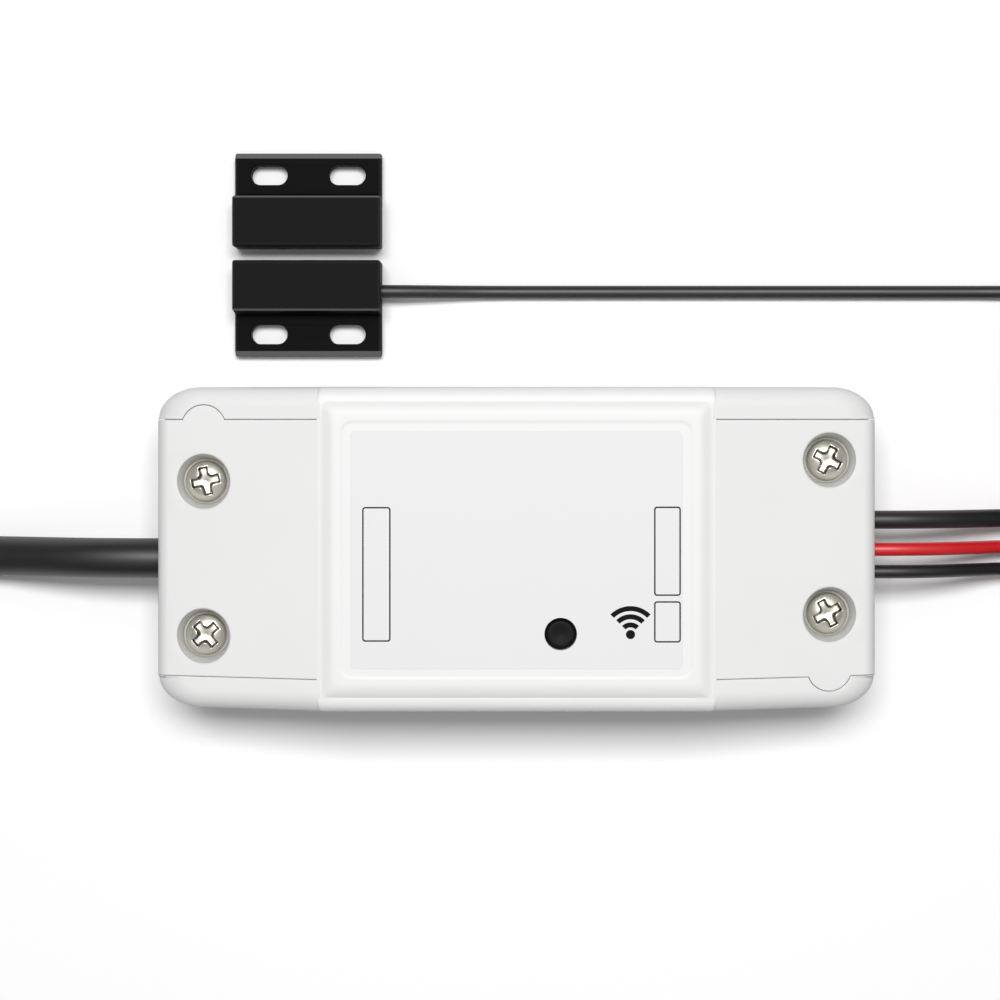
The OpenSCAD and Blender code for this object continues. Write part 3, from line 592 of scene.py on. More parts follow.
def end_cover(side):
    """Shells of an end cover: inner wall, rim and outer wall as one loft that arches over the lead entries,
    the sloping faces above and below, and the screw wells. Gives them with a mask of painted shade that
    grows down the sinks."""
    outline = cover_outline()
    corners = zip(cover_inner_x, (-cover_inner_w, cover_inner_w))
    inner = plan_loop(*corners, cover_corner_r, cover_counts)
    loops = [
        at_height(inner, ramp_height(inner[:, 0]) - cover_thick),
        at_height(inner, split_z + entry_depth(inner * side)),
    ]
    for grown, left in edge_steps(rim_edge_r):
        ring = moved_in(outline, left)
        loops.append(at_height(ring, split_z + grown + entry_depth(ring * side)))
    for grown, left in edge_steps(1, cover_edge_points):
        ring = moved_in(outline, seam_edge_r * grown)
        ring[:, 0] = np.minimum(ring[:, 0], case_half_l - end_r * grown)
        drop = np.maximum(seam_edge_r * left, fall(case_half_l - ring[:, 0], end_r))
        loops.append(at_height(ring, ramp_height(ring[:, 0]) - drop))
    wells = [screw_well(place) for place in screw_places]
    shells = pierced(loops, wells)
    # Painted shade on the screw wells' walls, faint at the rim, dark at the sink's foot and below it.
    well_painted_shade = [np.zeros(len(faces)) for _, faces in shells]
    depth = (np.arange(len(wells[0]) - 1) - edge_points) / sink_steps
    for k in range(len(wells)):
        well_painted_shade[1 + k] = np.repeat(np.interp(depth, (0, 1), sink_painted_shade), ring_points)
    return [turned(shell, side) for shell in shells], np.concatenate(well_painted_shade)


for side, end in ((1, "output"), (-1, "input")):
    end_shells, end_painted_shade = end_cover(side)
    make_piece(
        end + "_end_cover_skin", end_shells, case_white, "controller", [end + "_end_cover"],
        painted_light=end_painted_shade,
    )

# Cover screws: four pan heads with a cross recess, cold headed from steel wire and nickel plated. They
# stand on the seats in the end covers and bite into the bosses of the base.
head_r = 2.5
head_h = 1.6
crown_r = 4.8
head_edge_r = 0.22
shank_r = 1
shank_l = 10
shank_tip_r = 0.4
shank_tip_l = 1
arm_half_l = 1.65
arm_half_w = 0.44
arm_blend = 0.6
arm_edge = 0.17
cross_depth = 1.0
cross_taper = 0.4
screw_turns = [28, 62, 12, 40]
head_points = 128
head_rings = np.concatenate([np.linspace(head_r, 1.9, 10), np.linspace(1.85, 0.03, 46)])


def smooth_least(a, b, blend):
    """The lesser of two fields with the corner between them rounded: least - blend * m * (1 - m)."""
    m = np.clip(0.5 + 0.5 * (b - a) / blend, 0, 1)
    return b + (a - b) * m - blend * m * (1 - m)


def cross_share(rho, turn):
    """How far the cross recess has sunk round a screw head at distance rho, 0 to 1: it steps in smoothly,
    as 3 m^2 - 2 m^3, where a field of two crossed bars turns negative."""
    a = np.linspace(0, 2 * np.pi, head_points, endpoint=False)
    u = np.abs(rho * np.cos(a - turn))
    v = np.abs(rho * np.sin(a - turn))
    bar_u = np.maximum(u - arm_half_l, v - arm_half_w)
    bar_v = np.maximum(v - arm_half_l, u - arm_half_w)
    m = np.clip(0.5 - smooth_least(bar_u, bar_v, arm_blend) / (2 * arm_edge), 0, 1)
    return m**2 * (3 - 2 * m)


def screw(place, turn):
    """A screw as one loft: tip, shank, underside of the head, and rings over the head to its middle, as a
    ball's crown less the rounded rim and the cross recess. Gives it with a mask of painted shade on the
    walls of the cross."""
    stem = [(shank_tip_r, shank_l), (shank_r, shank_l - shank_tip_l), (shank_r, 0), (head_r, 0)]
    loops = [circle(place, r, seat_z - down, head_points) for r, down in stem]
    cross_painted_shade = [np.zeros(head_points) for _ in stem]
    for rho in head_rings:
        share = cross_share(rho, turn)
        crown = head_h - crown_r + np.sqrt(crown_r**2 - rho**2) - fall(head_r - rho, head_edge_r)
        sunk = cross_depth * (1 - cross_taper * rho / arm_half_l) * share
        loops.append(circle(place, rho, seat_z + crown - sunk, head_points))
        # Painted shade, strongest half way down the walls of the cross.
        cross_painted_shade.append(4 * share * (1 - share))
    return loft(loops), np.concatenate([*cross_painted_shade[1:], [0, 0]])


# Plated metal: faint wipe marks in Height and a slow stain in Mottle.
plate_group, plate_place, plate_scale, plate_out = surface_group("plated_metal")
plate_wipe = add_node(plate_group, "Mapping", {"Vector": plate_place, "Scale": (1, 6, 1)})
feed(plate_group, plate_out, {
    "Height": noise(plate_group, plate_wipe.outputs["Vector"], plate_scale, detail=2),
    "Mottle": noise(plate_group, plate_place, scale=350, detail=3),
})


def metal(name, scale, dark, pale, roughness, grain):
    """A finished material of bare or plated metal."""
    material = finished(name, plate_group, scale, dark, pale, roughness, grain)
    material.node_tree.nodes["Principled BSDF"].inputs["Metallic"].default_value = 1
    return material


nickel = metal("nickel_plate", 900, (0.72, 0.70, 0.62), (0.84, 0.82, 0.74), (0.26, 0.36), (0.1, 0.02))
# Near-black painted shade on the walls of the cross recesses, where the screws' mask says.
tint_painted_light(nickel, (0.03, 0.028, 0.025))
sunk_places = [np.array(place) * side for side in (1, -1) for place in screw_places]
screws = [screw(place, np.radians(turn)) for place, turn in zip(sunk_places, screw_turns)]
screw_shells, screw_painted_shade = zip(*screws)
make_piece(
    "cover_screw_heads", screw_shells, nickel, "controller", ["cover_screws"], crease=50,
    painted_light=np.concatenate(screw_painted_shade),
)

# Label: a white printed film stuck in the recess, with a hole for the button. Three outlined fields and the
# arcs of a radio sign are printed on it in black.
label_half = (19.95, 14.3)
label_corner_r = 0.6
label_top = 22.97
label_edge_r = 0.04
ink_t = 0.02
ink_line = 0.17
ink_heights = (label_top, label_top + ink_t)
field_corner_r = 0.35
field_counts = (4, 4, 6)
fields = [((-18.5, -11.0), (-15.1, 5.15)), ((16.5, -5.5), (19.7, 5.2)), ((16.5, -11.1), (19.7, -6.15))]
radio_place = (13.67, -10.14)
radio_dot_r = 0.55
radio_radii = [1.45, 2.43, 3.41]
radio_line = 0.6
radio_half_angle = 45
arc_points = 24


def outlined(low, high):
    """The printed outline of a field: a flat ring of ink between two rounded rectangles."""
    outer = plan_loop(low, high, field_corner_r, field_counts)
    within = np.array(low) + ink_line, np.array(high) - ink_line
    inner = plan_loop(*within, field_corner_r - ink_line, field_counts)
    loops = [at_height(outer, z) for z in ink_heights] + [at_height(inner, z) for z in ink_heights[::-1]]
    return loft(loops, ring=True)


def radio_arc(radius):
    """A printed arc over the radio sign's dot: out along one radius and back along a lesser one."""
    a = np.radians(90 + np.linspace(-radio_half_angle, radio_half_angle, arc_points))
    rim = np.stack([np.cos(a), np.sin(a)], 1)
    plan = np.array(radio_place) + np.concatenate([radius * rim, (radius - radio_line) * rim[::-1]])
    points, faces = loft([at_height(plan, z) for z in ink_heights], capped=False)
    last = len(plan) - 1
    i = np.arange(arc_points - 1)
    cap = np.stack([i, i + 1, last - 1 - i, last - i], 1)
    return points, faces + (len(plan) + cap).tolist() + cap[:, ::-1].tolist()


film_white = finished(
    "label_film", skin_group, 2600, (0.79, 0.79, 0.79), (0.805, 0.805, 0.805), (0.46, 0.54),
    (0.05, 0.02), shine=0.3,
)
label_ink = finished(
    "label_ink", skin_group, 3200, (0.004, 0.004, 0.0045), (0.010, 0.010, 0.0105), (0.5, 0.6),
    (0.05, 0.01), shine=0.05,
)
label_loops = [panel_loop(label_half, label_corner_r, recess_floor)]
for grown, left in edge_steps(label_edge_r):
    label_loops.append(panel_loop(np.array(label_half) - grown, label_corner_r - grown, label_top - left))
label_hole = round_edge_hole(button_place, button_hole_r, label_edge_r, label_top, recess_floor)
label_shells = pierced(label_loops, [label_hole])
make_piece("label_film", label_shells, film_white, "controller", ["label_panel"])
print_shells = [outlined(*field) for field in fields] + [radio_arc(radius) for radius in radio_radii]
print_shells.append(loft([circle(radio_place, radio_dot_r, z) for z in ink_heights]))
make_piece("label_print", print_shells, label_ink, "controller", [])

# Pairing button: a black moulded plunger that ends just under the label's face, kept in by a flange under
# the cover. Its own face is slightly dished for the fingertip.
button_r = 1.7
button_top = 22.85
button_edge_r = 0.3
button_dish = 0.12
dish_rings = 8
dish_reach = 0.98
button_foot = 11.2
flange_r = 2.65
flange_z = (20.05, 20.85)
button_black = finished(
    "button_black", skin_group, 2200, (0.006, 0.006, 0.007), (0.012, 0.012, 0.013), (0.42, 0.55),
    (0.12, 0.03), shine=0.08,
)
button_profile = [(button_r, button_foot), (button_r, flange_z[0]), (flange_r, flange_z[0])]
button_profile += [(flange_r, flange_z[1]), (button_r, flange_z[1])]
button_profile += [(button_r - grown, button_top - left) for grown, left in edge_steps(button_edge_r)]
for inward in np.linspace(0, 1, dish_rings)[1:]:
    face_r = (button_r - button_edge_r) * (1 - dish_reach * inward)
    button_profile.append((face_r, button_top - button_dish * np.sin(inward * np.pi / 2) ** 2))
button_shell = loft([circle(button_place, radius, z) for radius, z in button_profile])
make_piece("pairing_button_cap", [button_shell], button_black, "button", ["pairing_button"])

# Door contact: two like halves moulded in matt black ABS, the switch half mirrored. Each has a raised body
# over its magnet or reed switch, and a thin flange with two screw slots. A grey highlight is painted on the
# flange's outer wall and chamfer, on the body's top edge and over the rounded ends, and the body's top is a
# little paler.
contact_place = (-26.7, 36.75)
contact_l = 18.8
contact_gap = 1.7
contact_edge_r = 0.3
contact_section = np.array([
    (0.3, 0), (11.9, 0), (12.2, 0.3), (12.2, 1.5), (11.5, 2.2), (6.95, 2.2), (6.84, 2.4), (6.45, 5.35),
    (6.2, 5.6), (0.45, 5.6), (0.13, 5.47), (0, 5.15), (0, 0.3),
])
# Painted highlight by face of the section: grey on the flange's outer wall and chamfer and on the body's top
# edge, a little paler on the body's top.
section_painted_highlight = np.array([0, 0, 0.2, 1, 0, 0, 0.05, 0.8, 0.04, 0.08, 0.04, 0, 0])
# A faint painted highlight over the rounded ends.
end_painted_highlight = 0.12
bottom_run, flange_run = 0, 4
slot_xs = (-5, 5)
slot_y = 9.35
slot_half_run = 1.1
slot_r = 1.25
slot_edge_r = 0.12


def stadium(place, radius, z):
    """A slot's outline, anticlockwise: two half circles, place + radius * (cos a, sin a), set apart along
    X."""
    a = (np.arange(ring_points) + 0.5) / ring_points * 2 * np.pi
    run = np.sign(np.cos(a)) * slot_half_run
    return at_height(np.array(place) + np.stack([run + radius * np.cos(a), radius * np.sin(a)], 1), z)


def contact_half():
    """The magnet half about the middle of its inner face: the section carried along X with its ends rounded
    off, its flange and underside filled round the slots, and the slots' walls. Gives shells and their mask
    of painted highlight, by face."""
    stations = [(grown - contact_l / 2, left) for grown, left in edge_steps(contact_edge_r)]
    stations += [(-x, inset) for x, inset in stations[::-1]]
    loops = []
    for x, inset in stations:
        outline = moved_in(contact_section, inset)
        loops.append(np.column_stack([np.full(len(outline), x), outline]))
    points, faces = loft(loops)
    middle = edge_points - 1
    painted_light = np.tile(section_painted_highlight, (len(stations) - 1, 1))
    in_middle = np.arange(len(painted_light))[:, None] == middle
    painted_light = np.append(np.where(in_middle, painted_light, np.maximum(painted_light, end_painted_highlight)).ravel(), [0, 0])
    open_faces = [middle * len(contact_section) + run for run in (bottom_run, flange_run)]
    shells = [(points, [face for i, face in enumerate(faces) if i not in open_faces])]
    flange_top = contact_section[flange_run, 1]
    slots = []
    for x in slot_xs:
        place = (x, slot_y)
        edge = [stadium(place, slot_r + left, flange_top - grown) for grown, left in edge_steps(slot_edge_r)]
        slots.append(edge + [stadium(place, slot_r, 0)])
    x_flat = contact_l / 2 - contact_edge_r
    for run, up in ((flange_run, True), (bottom_run, False)):
        (y0, z), (y1, _) = contact_section[[run, run + 1]]
        outer = np.array([(-x_flat, y0, z), (x_flat, y0, z), (x_flat, y1, z), (-x_flat, y1, z)])
        shells.append(fill(outer, [slot[0 if up else -1] for slot in slots], up))
    shells += [loft(slot, capped=False) for slot in slots]
    painted_highlights = [np.delete(painted_light, open_faces)] + [np.zeros(len(shell[1])) for shell in shells[1:]]
    return [(p + [0, contact_gap / 2, 0], f) for p, f in shells], np.concatenate(painted_highlights)


contact_black = finished(
    "contact_black", skin_group, 1500, (0.0015, 0.0015, 0.0017), (0.003, 0.003, 0.0032), (0.5, 0.62),
    (0.15, 0.03), shine=0.05,
)
# Grey painted highlight on the contact's chamfers, top edges and ends, where its mask says.
tint_painted_light(contact_black, (0.14, 0.14, 0.145))
half_shells, half_painted_highlight = contact_half()
contact_halves = [
    ("magnet_half", half_shells, "door_magnet", "magnet_housing"),
    ("switch_half", map(mirrored, half_shells), "controller", "switch_housing"),
]
for name, shells, body, node in contact_halves:
    placed = [(points + [*contact_place, 0], faces) for points, faces in shells]
    make_piece(name, placed, contact_black, body, [node], painted_light=half_painted_highlight)

# The leads: round, rubbery PVC sheaths with a soft sheen. Each is one tube from its terminal or switch to
# its far end, and all but the short pigtail lie in a tied coil out of the picture.
mains_d = 5
pigtail_d = 2.3
wire_d = 1.7
mains_sides, pigtail_sides, wire_sides = 28, 20, 16
lead_step = 0.4
mains_route = [
    (6, -1.7, 10), (0, -1.7, 10), (-5, -1.7, 9.8), (-10, -1.7, 8.9), (-16, -1.7, 6.7), (-22, -1.7, 4.4),
    (-28, -1.7, 3), (-34, -1.7, 2.6), (-41, -1.7, 2.8), (-48, -2, 3.3)
]
mains_tail_route = [
    (-47.6, 19.9, 20.3), (-45.9, 13.7, 21.8), (-46.3, 7.3, 23.8), (-48.8, 1.4, 25.8), (-53, -3.5, 27.7),
    (-58.6, -6.8, 29.1), (-65, -8, 29.6), (-70, -8, 29.6)
]
pigtail_route = [
    (-6, 3.1, 10), (0, 3.1, 10), (5, 3.1, 9.8), (10, 3.1, 8.5), (15, 3.1, 6.1), (20, 3.1, 3.6),
    (25, 3.1, 1.8), (30, 3.1, 1.3), (35, 3.1, 1.9), (39, 3.1, 2.5), (42, 3.1, 2.5)
]
sensor_route = [
    (-18.9, 32, 2.8), (-15.3, 32, 2.8), (-11, 32, 2.2), (-6, 32, 1.3), (-1, 32, 0.9), (5, 32, 0.9),
    (11, 32, 0.9), (17, 32, 0.9), (23, 32, 0.9), (29, 32, 0.9), (35, 32, 0.9), (41, 32, 0.9), (47, 32, 0.9),
    (53, 32, 0.9), (59, 32, 0.9), (64, 32, 1.2), (69, 32, 1.6)
]
sensor_tail_route = [
    (41, 32, 7.6), (46, 32, 5.6), (51, 32, 3.2), (56, 31.9, 1.6), (61, 31, 0.9), (66, 28.3, 0.9),
    (70, 24, 0.9), (72, 18, 0.9), (71, 12, 1), (68, 7, 1.4), (64, 4, 2.1), (60, 3.1, 2.5), (58, 3.1, 2.5)
]
red_route = [
    (-14, -1.5, 10), (-10, -1.5, 10), (-5, -0.6, 10), (0, -0.6, 10), (5, -0.6, 9.7), (10, -0.6, 8.2),
    (14, -0.6, 6), (18, -0.6, 3.6), (22, -0.6, 1.7), (27, -0.6, 0.9), (33, -0.6, 0.9), (39, -0.6, 0.9),
    (45, -0.6, 0.9), (51, -0.6, 1.1), (57, -0.6, 1.5)
]
black_route = [
    (-14, -5.3, 10), (-10, -5.2, 10), (-5, -3.5, 10), (0, -3.4, 10), (5, -3.4, 9.7), (10, -3.4, 8.2),
    (14, -3.4, 6), (18, -3.4, 3.8), (22, -3.4, 2.4), (27, -3.4, 1.8)
]
wire_tail_l = 8
wire_tail_drop = 2.9
coil_gap = 0.5
reversal_turns = 0.5
turn_points = 48


@dataclass
class Coil:
    """A coil wound on the spot: the middle of its lowest layer, the sheath, the inner radius, the turns of
    one layer, the layers, and the angle in degrees at which it starts."""

    middle: tuple
    sheath_d: float
    inner_r: float
    turns: float
    layers: int
    first_angle: float

    def __post_init__(self):
        """Works out the pitch between turns and the turns of all layers."""
        self.pitch = self.sheath_d + coil_gap
        self.all_turns = self.turns * self.layers

    def points(self, t):
        """Points after t turns, clockwise: radius = inner + pitch * |turns - (t mod 2 turns)|, and at each
        reversal the height eases up by one pitch over half a turn, as (1 - cos) / 2."""
        radius = self.inner_r + self.pitch * np.abs(self.turns - np.mod(t, 2 * self.turns))
        reversals = np.arange(1, self.layers) * self.turns
        rise = np.clip((t[:, None] - reversals) / reversal_turns + 0.5, 0, 1)
        height = self.pitch * ((1 - np.cos(np.pi * rise)) / 2).sum(1)
        angle = np.radians(self.first_angle) - 2 * np.pi * t
        return np.array(self.middle) + np.stack([radius * np.cos(angle), radius * np.sin(angle), height], 1)

    def heading(self, t):
        """Direction of travel after t turns: (sin a, -cos a, 0)."""
        angle = np.radians(self.first_angle) - 2 * np.pi * t
        return np.array([np.sin(angle), -np.cos(angle), 0])

    def line(self):
        """The middle line of the coil, with two sheath diameters of straight run at each end."""
        body = self.points(np.linspace(0, self.all_turns, round(self.all_turns * turn_points) + 1))
        runs = self.sheath_d * np.array([[2.0], [1.0]])
        lead_in = body[0] - runs * self.heading(0)
        lead_out = body[-1] + runs[::-1] * self.heading(self.all_turns)
        return np.concatenate([lead_in, body, lead_out])


def from_end(route, side):
    """Route points measured from an end of the case: side is -1 for the input end, 1 for the output end."""
    return np.array(route, float) + [side * case_half_l, 0, 0]


def wire_tail(coil):
    """The short end of an output wire past its coil: half way ahead it is half way down, and from three
    quarters on it lies on the floor."""
    end = coil.line()[-2]
    ahead = wire_tail_l * coil.heading(coil.all_turns)
    down = np.array([0, 0, -wire_tail_drop])
    return np.array([end + 0.5 * ahead + 0.5 * down, end + 0.75 * ahead + down, end + ahead + down])


def smooth_line(points, spacing):
    """A smooth line through points: cubic Hermite spans over the chord length, each with the slope between
    its neighbours, cut into even steps of about the spacing."""
    reach = np.concatenate([[0], np.cumsum(np.linalg.norm(np.diff(points, axis=0), axis=1))])
    slope = np.empty_like(points)
    slope[1:-1] = (points[2:] - points[:-2]) / (reach[2:] - reach[:-2])[:, None]
    slope[0] = (points[1] - points[0]) / (reach[1] - reach[0])
    slope[-1] = (points[-1] - points[-2]) / (reach[-1] - reach[-2])
    at = np.linspace(0, reach[-1], int(reach[-1] / spacing) + 2)
    span = np.clip(np.searchsorted(reach, at, side="right") - 1, 0, len(points) - 2)
    length = (reach[span + 1] - reach[span])[:, None]
    u = ((at - reach[span])[:, None]) / length
    return (
        (2 * u**3 - 3 * u**2 + 1) * points[span] + (u**3 - 2 * u**2 + u) * length * slope[span]
        + (3 * u**2 - 2 * u**3) * points[span + 1] + (u**3 - u**2) * length * slope[span + 1]
    )


def swept_tube(line, d, sides):
    """Rings square to a line: centre + d/2 * (cos a * side + sin a * up), with side level and up across
    both."""
    ahead = np.gradient(line, axis=0)
    ahead /= np.linalg.norm(ahead, axis=1)[:, None]
    side = np.cross(ahead, [0, 0, 1])
    side /= np.linalg.norm(side, axis=1)[:, None]
    up = np.cross(side, ahead)
    a = np.linspace(0, 2 * np.pi, sides, endpoint=False)[None, :, None]
    rings = line[:, None] + d / 2 * (np.cos(a) * side[:, None] + np.sin(a) * up[:, None])
    return loft(list(rings))


def lead(name, stretches, d, sides, material, nodes):
    """A lead as one tube through its stretches of points, in place of CAD nodes. Gives it and its path."""
    line = smooth_line(np.concatenate(stretches), d * lead_step)
    tube = swept_tube(line, d, sides)
    return make_piece(name, [tube], material, "controller", nodes, crease=60), line * mm


sheath_black = finished(
    "sheath_black", skin_group, 2500, (0.003, 0.003, 0.0035), (0.006, 0.006, 0.0065), (0.44, 0.52),
    (0.12, 0.03), shine=0.8,
)
sheath_red = finished(
    "sheath_red", skin_group, 2500, (0.62, 0.006, 0.010), (0.70, 0.010, 0.016), (0.38, 0.44),
    (0.1, 0.03), shine=1,
)
mains_coil = Coil((-case_half_l - 79, 12.5, 3.3), mains_d, 21, 1.435, 4, -50)
sensor_coil = Coil((case_half_l + 34.5, 18.8, 1.65), wire_d, 5.5, 3.5, 4, 90)
red_coil = Coil((case_half_l + 63, -11.5, 1.65), wire_d, 6, 2.25, 2, 90)
black_coil = Coil((case_half_l + 35, -14.3, 1.65), wire_d, 6, 2.25, 2, 90)
mains_lead, mains_path = lead(
    "mains_lead_sheath", [from_end(mains_route, -1), mains_coil.line(), from_end(mains_tail_route, -1)],
    mains_d, mains_sides, sheath_black, ["mains_lead", "mains_coil", "mains_tail"],
)
pigtail, pigtail_path = lead(
    "sensor_pigtail_sheath", [from_end(pigtail_route, 1)],
    pigtail_d, pigtail_sides, sheath_black, ["sensor_pigtail"],
)
sensor_lead, sensor_path = lead(
    "sensor_lead_sheath", [sensor_route, sensor_coil.line(), from_end(sensor_tail_route, 1)],
    wire_d, wire_sides, sheath_black, ["sensor_lead", "sensor_coil", "sensor_tail"],
)
red_lead, red_path = lead(
    "red_wire_sheath", [from_end(red_route, 1), red_coil.line(), wire_tail(red_coil)],
    wire_d, wire_sides, sheath_red, ["red_wire", "red_coil", "red_tail"],
)
black_lead, black_path = lead(
    "black_wire_sheath", [from_end(black_route, 1), black_coil.line(), wire_tail(black_coil)],
    wire_d, wire_sides, sheath_black, ["black_wire", "black_coil", "black_tail"],
)

# Mains plug: a flat two-pin plug moulded on to the lead in black PVC, with a ribbed relief that tapers off
# along the lead. It lies on the coil, and its pins keep their solids.
plug_at = np.array([-case_half_l - 70, -8, 29.6])
relief_l = 20
relief_r = (3.3, 4.5)
relief_plain = 2
relief_ribs = 6
relief_rings = 81
rib_depth = 0.5
plug_body_l = 28
plug_half_h = 6.8
plug_half_w = (10, 17.5)
plug_flare = (8, 20)
flare_margin = 1
flare_rings = 15
plug_edge_r = 1.5
plug_power = 5
plug_points = 96


def plug_ring(distance, half_w, half_h, power):
    """A section of the plug at a distance along it: a superellipse, half width * cos a and half height *
    sin a, each raised to 2 / power with its sign kept."""
    a = np.linspace(0, 2 * np.pi, plug_points, endpoint=False)
    across = half_w * np.sign(np.cos(a)) * np.abs(np.cos(a)) ** (2 / power)
    up = half_h * np.sign(np.sin(a)) * np.abs(np.sin(a)) ** (2 / power)
    return plug_at + np.stack([np.full(len(a), -distance), -across, up], 1)


def relief_ring(distance):
    """A round section of the relief: a straight taper less a row of grooves, each (1 - cos) / 2 squared."""
    taper = relief_r[0] + (relief_r[1] - relief_r[0]) * distance / relief_l
    along = np.clip((distance - relief_plain) / (relief_l - 2 * relief_plain), 0, 1)
    radius = taper - rib_depth * ((1 - np.cos(2 * np.pi * relief_ribs * along)) / 2) ** 2
    return plug_ring(distance, radius, radius, 2)


def plug_body(distance, inset):
    """A section of the plug's body, which flares between two distances from its narrow to its wide width."""
    half_w = np.interp(distance, plug_flare, plug_half_w) - inset
    return plug_ring(relief_l + distance, half_w, plug_half_h - inset, plug_power)


plug_loops = [relief_ring(distance) for distance in np.linspace(0, relief_l, relief_rings)]
plug_loops += [plug_body(grown, left) for grown, left in edge_steps(plug_edge_r)]
flare = np.linspace(plug_flare[0] - flare_margin, plug_flare[1] + flare_margin, flare_rings)
plug_loops += [plug_body(distance, 0) for distance in flare]
plug_loops += [plug_body(plug_body_l - left, grown) for grown, left in edge_steps(plug_edge_r)]
plug_black = finished(
    "plug_black", skin_group, 1400, (0.006, 0.006, 0.007), (0.014, 0.014, 0.015), (0.40, 0.52), (0.2, 0.04)
)
plug_piece = make_piece(
    "mains_plug_body", [loft(plug_loops)], plug_black, "controller", ["mains_plug"]
)

# In-line connector: two black moulded halves that push together, one on the sensor pigtail and one on the
# sensor lead. Grooves across each give the fingers a grip.
connector_x = case_half_l + 42
connector_place = (3.1, 2.5)
connector_l = 8
connector_half_w = 2.5
connector_corner_r = 0.8
connector_edge_r = 0.3
connector_counts = (4, 4, 6)
groove_places = (2.4, 4, 5.6)
groove_profile = [(-0.4, 0), (-0.25, 0.25), (0.25, 0.25), (0.4, 0)]


def connector_half(start):
    """A half as a rounded square carried along X, moved in by the edge rounding at both ends and by each
    groove."""
    edge = edge_steps(connector_edge_r).tolist()
    grooves = [(place + along, depth) for place in groove_places for along, depth in groove_profile]
    loops = []
    for x, inset in edge + grooves + [(connector_l - x, inset) for x, inset in edge[::-1]]:
        half = np.full(2, connector_half_w - inset)
        square = plan_loop(-half, half, connector_corner_r - inset, connector_counts)
        loops.append(np.column_stack([np.full(len(square), start + x), square + connector_place]))
    return loft(loops)


socket_piece = make_piece(
    "sensor_socket_body", [connector_half(connector_x)], plug_black, "controller",
    ["sensor_socket"],
)
inline_piece = make_piece(
    "sensor_plug_body", [connector_half(connector_x + connector_l)], plug_black, "controller",
    ["sensor_plug"],
)

# Coil ties: black nylon straps that hold each coil together for the shop, pulled tight through a small lock
# head on top.
tie_fit = 0.25
tie_t = 0.5
tie_w = 3
tie_corner_r = (0.8, 0.4)
tie_counts = (6, 6, 6)
tie_head = (3.4, 3.8, 1.4)
head_lift = 0.2
head_corner_r = 0.5
head_counts = (3, 3, 5)
head_bevel = [(0, 0.3), (0.1, 0.1), (0.3, 0)]
tie_black = finished(
    "tie_black", skin_group, 1800, (0.010, 0.010, 0.011), (0.020, 0.020, 0.021), (0.36, 0.48), (0.15, 0.03)
)


def coil_tie(name, coil, degrees):
    """A strap round a coil's bundle at an angle: a flat ring between two rounded rectangles across the
    bundle, drawn out along it, and the lock head as a small block on top."""
    angle = np.radians(degrees)
    radial = np.array([np.cos(angle), np.sin(angle), 0])
    along = np.array([np.sin(angle), -np.cos(angle), 0])
    up = np.array([0, 0, 1])
    bundle = coil.pitch * np.array([coil.turns, coil.layers - 1]) + coil.sheath_d + 2 * tie_fit
    lift = bundle[1] / 2 - coil.sheath_d / 2 - tie_fit
    middle = coil.middle + (coil.inner_r + coil.pitch * coil.turns / 2) * radial + lift * up
    outer = plan_loop(-bundle / 2 - tie_t, bundle / 2 + tie_t, tie_corner_r[0], tie_counts)
    inner = plan_loop(-bundle / 2, bundle / 2, tie_corner_r[1], tie_counts)
    strap = [
        middle + plan[:, :1] * radial + plan[:, 1:] * up + shift * tie_w / 2 * along
        for plan, shift in ((outer, -1), (outer, 1), (inner, 1), (inner, -1))
    ]
    foot = middle + (bundle[1] / 2 + head_lift) * up
    half = np.array(tie_head[:2]) / 2
    head = []
    for inset, down in [(0, tie_head[2]), *head_bevel]:
        plan = plan_loop(inset - half, half - inset, head_corner_r, head_counts)
        head.append(foot + plan[:, :1] * radial - plan[:, 1:] * along + (tie_head[2] - down) * up)
    tie_shells = [loft(strap, ring=True), loft(head)]
    return make_piece(name, tie_shells, tie_black, "controller", ["coil_ties"])


mains_tie = coil_tie("mains_coil_tie", mains_coil, 120)
sensor_tie = coil_tie("sensor_coil_tie", sensor_coil, 0)
red_tie = coil_tie("red_coil_tie", red_coil, 0)
black_tie = coil_tie("black_coil_tie", black_coil, 0)

# Wire tips: the stripped ends of the output wires, copper strands twisted together and tinned. Each goes
# on from the cut end of its sheath.
tip_l = 5
tip_r = 0.5
tip_strands = 6
tip_twist = 1.1
tip_swell = 0.16
tip_rings = 24
tip_points = 48
tinned = metal("tinned_copper", 1500, (0.55, 0.55, 0.53), (0.70, 0.70, 0.68), (0.28, 0.42), (0.15, 0.03))


def wire_tip(name, path, node):
    """Twisted strands past the end of a wire: rings whose radius swells as |cos| of half the strands' count
    times the angle, turned further along the tip."""
    ahead = path[-1] - path[-2]
    ahead /= np.linalg.norm(ahead)
    side = np.cross(ahead, [0, 0, 1])
    up = np.cross(side, ahead)
    a = np.linspace(0, 2 * np.pi, tip_points, endpoint=False)[:, None]
    loops = []
    for s in np.linspace(0, 1, tip_rings):
        swell = np.abs(np.cos(tip_strands / 2 * (a - tip_twist * 2 * np.pi * s)))
        radius = tip_r * (1 - tip_swell + tip_swell * swell)
        ring = radius * (np.cos(a) * side + np.sin(a) * up)
        loops.append(path[-1] / mm + s * tip_l * ahead + ring)
    return make_piece(name, [loft(loops)], tinned, "controller", [node], crease=60)


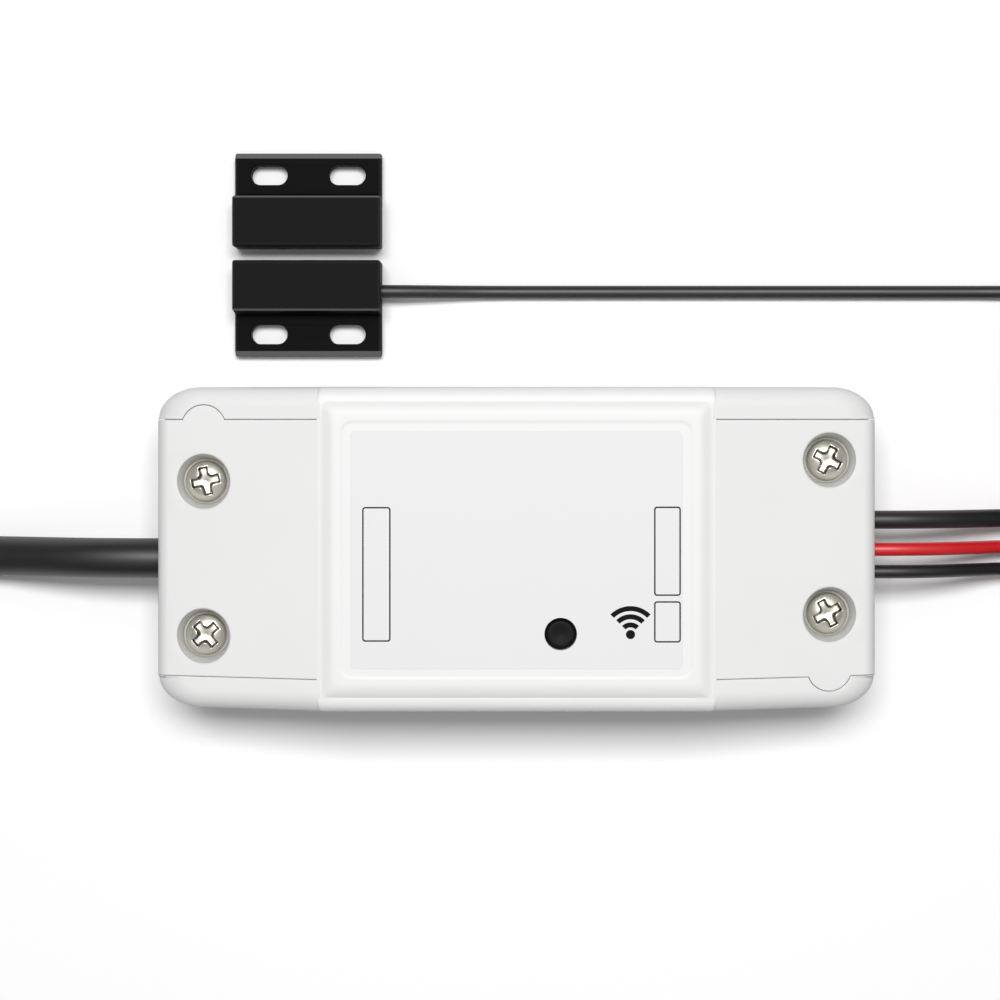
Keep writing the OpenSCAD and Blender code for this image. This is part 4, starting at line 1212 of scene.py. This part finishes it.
red_tip = wire_tip("red_wire_tip", red_path, "red_tip")
black_tip = wire_tip("black_wire_tip", black_path, "black_tip")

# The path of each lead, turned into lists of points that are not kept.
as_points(mains_path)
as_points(pigtail_path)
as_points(sensor_path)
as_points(red_path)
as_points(black_path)

# Inside the case and the contact: the circuit board with its relay, supply and radio board, the cores from
# the leads to the screw terminals, the magnet and the reed switch. They keep their solids, as the plug's
# pins do, and get the look of what they are made of.
moulded_colours = {
    "relay_blue": ((0.02, 0.09, 0.40), (0.03, 0.13, 0.50), ["relay"]),
    "tape_yellow": ((0.62, 0.46, 0.08), (0.74, 0.58, 0.14), ["transformer"]),
    "capacitor_sleeve": ((0.012, 0.012, 0.05), (0.022, 0.022, 0.08), ["bulk_capacitor"]),
    "varistor_blue": ((0.02, 0.16, 0.46), (0.03, 0.22, 0.56), ["varistor"]),
    "fuse_tan": ((0.42, 0.31, 0.17), (0.54, 0.41, 0.24), ["fuse_resistor"]),
    "chip_black": ((0.02, 0.02, 0.02), (0.035, 0.035, 0.035), ["bridge_rectifier"]),
    "terminal_green": ((0.03, 0.28, 0.09), (0.06, 0.38, 0.14), ["input_terminals", "output_terminals"]),
    "core_brown": ((0.16, 0.06, 0.02), (0.22, 0.09, 0.035), ["live_core"]),
    "core_blue": ((0.02, 0.11, 0.42), (0.035, 0.16, 0.52), ["neutral_core"]),
    "core_white": ((0.76, 0.76, 0.76), (0.86, 0.86, 0.86), ["sensor_cores"]),
    "potting_grey": ((0.09, 0.09, 0.09), (0.14, 0.14, 0.14), ["magnet_potting", "switch_potting"]),
}


def finish_node(material, *names):
    """Puts a material on solids that keep their own shape."""
    for name in names:
        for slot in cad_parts[name].material_slots:
            slot.material = material


def see_through(name, dark, pale, roughness):
    """A clear moulded or drawn material, faintly uneven."""
    material = finished(name, skin_group, 700, dark, pale, roughness, (0.03, 0.01))
    material.node_tree.nodes["Principled BSDF"].inputs["Transmission Weight"].default_value = 1
    return material


# Solder mask: a lattice of copper runs under the lacquer in Height, and its depth of colour in Mottle.
mask_group, mask_place, mask_scale, mask_out = surface_group("solder_mask")
mask_runs = add_node(mask_group, "TexBrick", {
    "Vector": mask_place, "Scale": mask_scale, "Mortar Size": 0.05,
    "Color1": (0.2, 0.2, 0.2), "Color2": (0.6, 0.6, 0.6), "Mortar": white,
})
feed(mask_group, mask_out, {"Height": mask_runs.outputs["Fac"], "Mottle": mask_runs.outputs["Color"]})
board_green = finished(
    "board_green", mask_group, 260, (0.015, 0.14, 0.05), (0.04, 0.26, 0.10), (0.30, 0.40), (0.3, 0.04)
)
finish_node(board_green, "circuit_board", "wifi_board")
for colour_name, (dark, pale, names) in moulded_colours.items():
    finish_node(finished(colour_name, skin_group, 1600, dark, pale, (0.34, 0.46), (0.15, 0.03)), *names)
finish_node(button_black, "tact_switch", "tact_plunger")
finish_node(nickel, "terminal_screws", "plug_pins", "bar_magnet")
finish_node(tinned, "wifi_shield", "reed_leads")
finish_node(see_through("lamp_resin", (0.72, 0.84, 0.74), (0.80, 0.92, 0.82), (0.06, 0.12)), "status_led")
finish_node(see_through("reed_glass", (0.78, 0.88, 0.87), (0.86, 0.95, 0.94), (0.02, 0.05)), "reed_capsule")
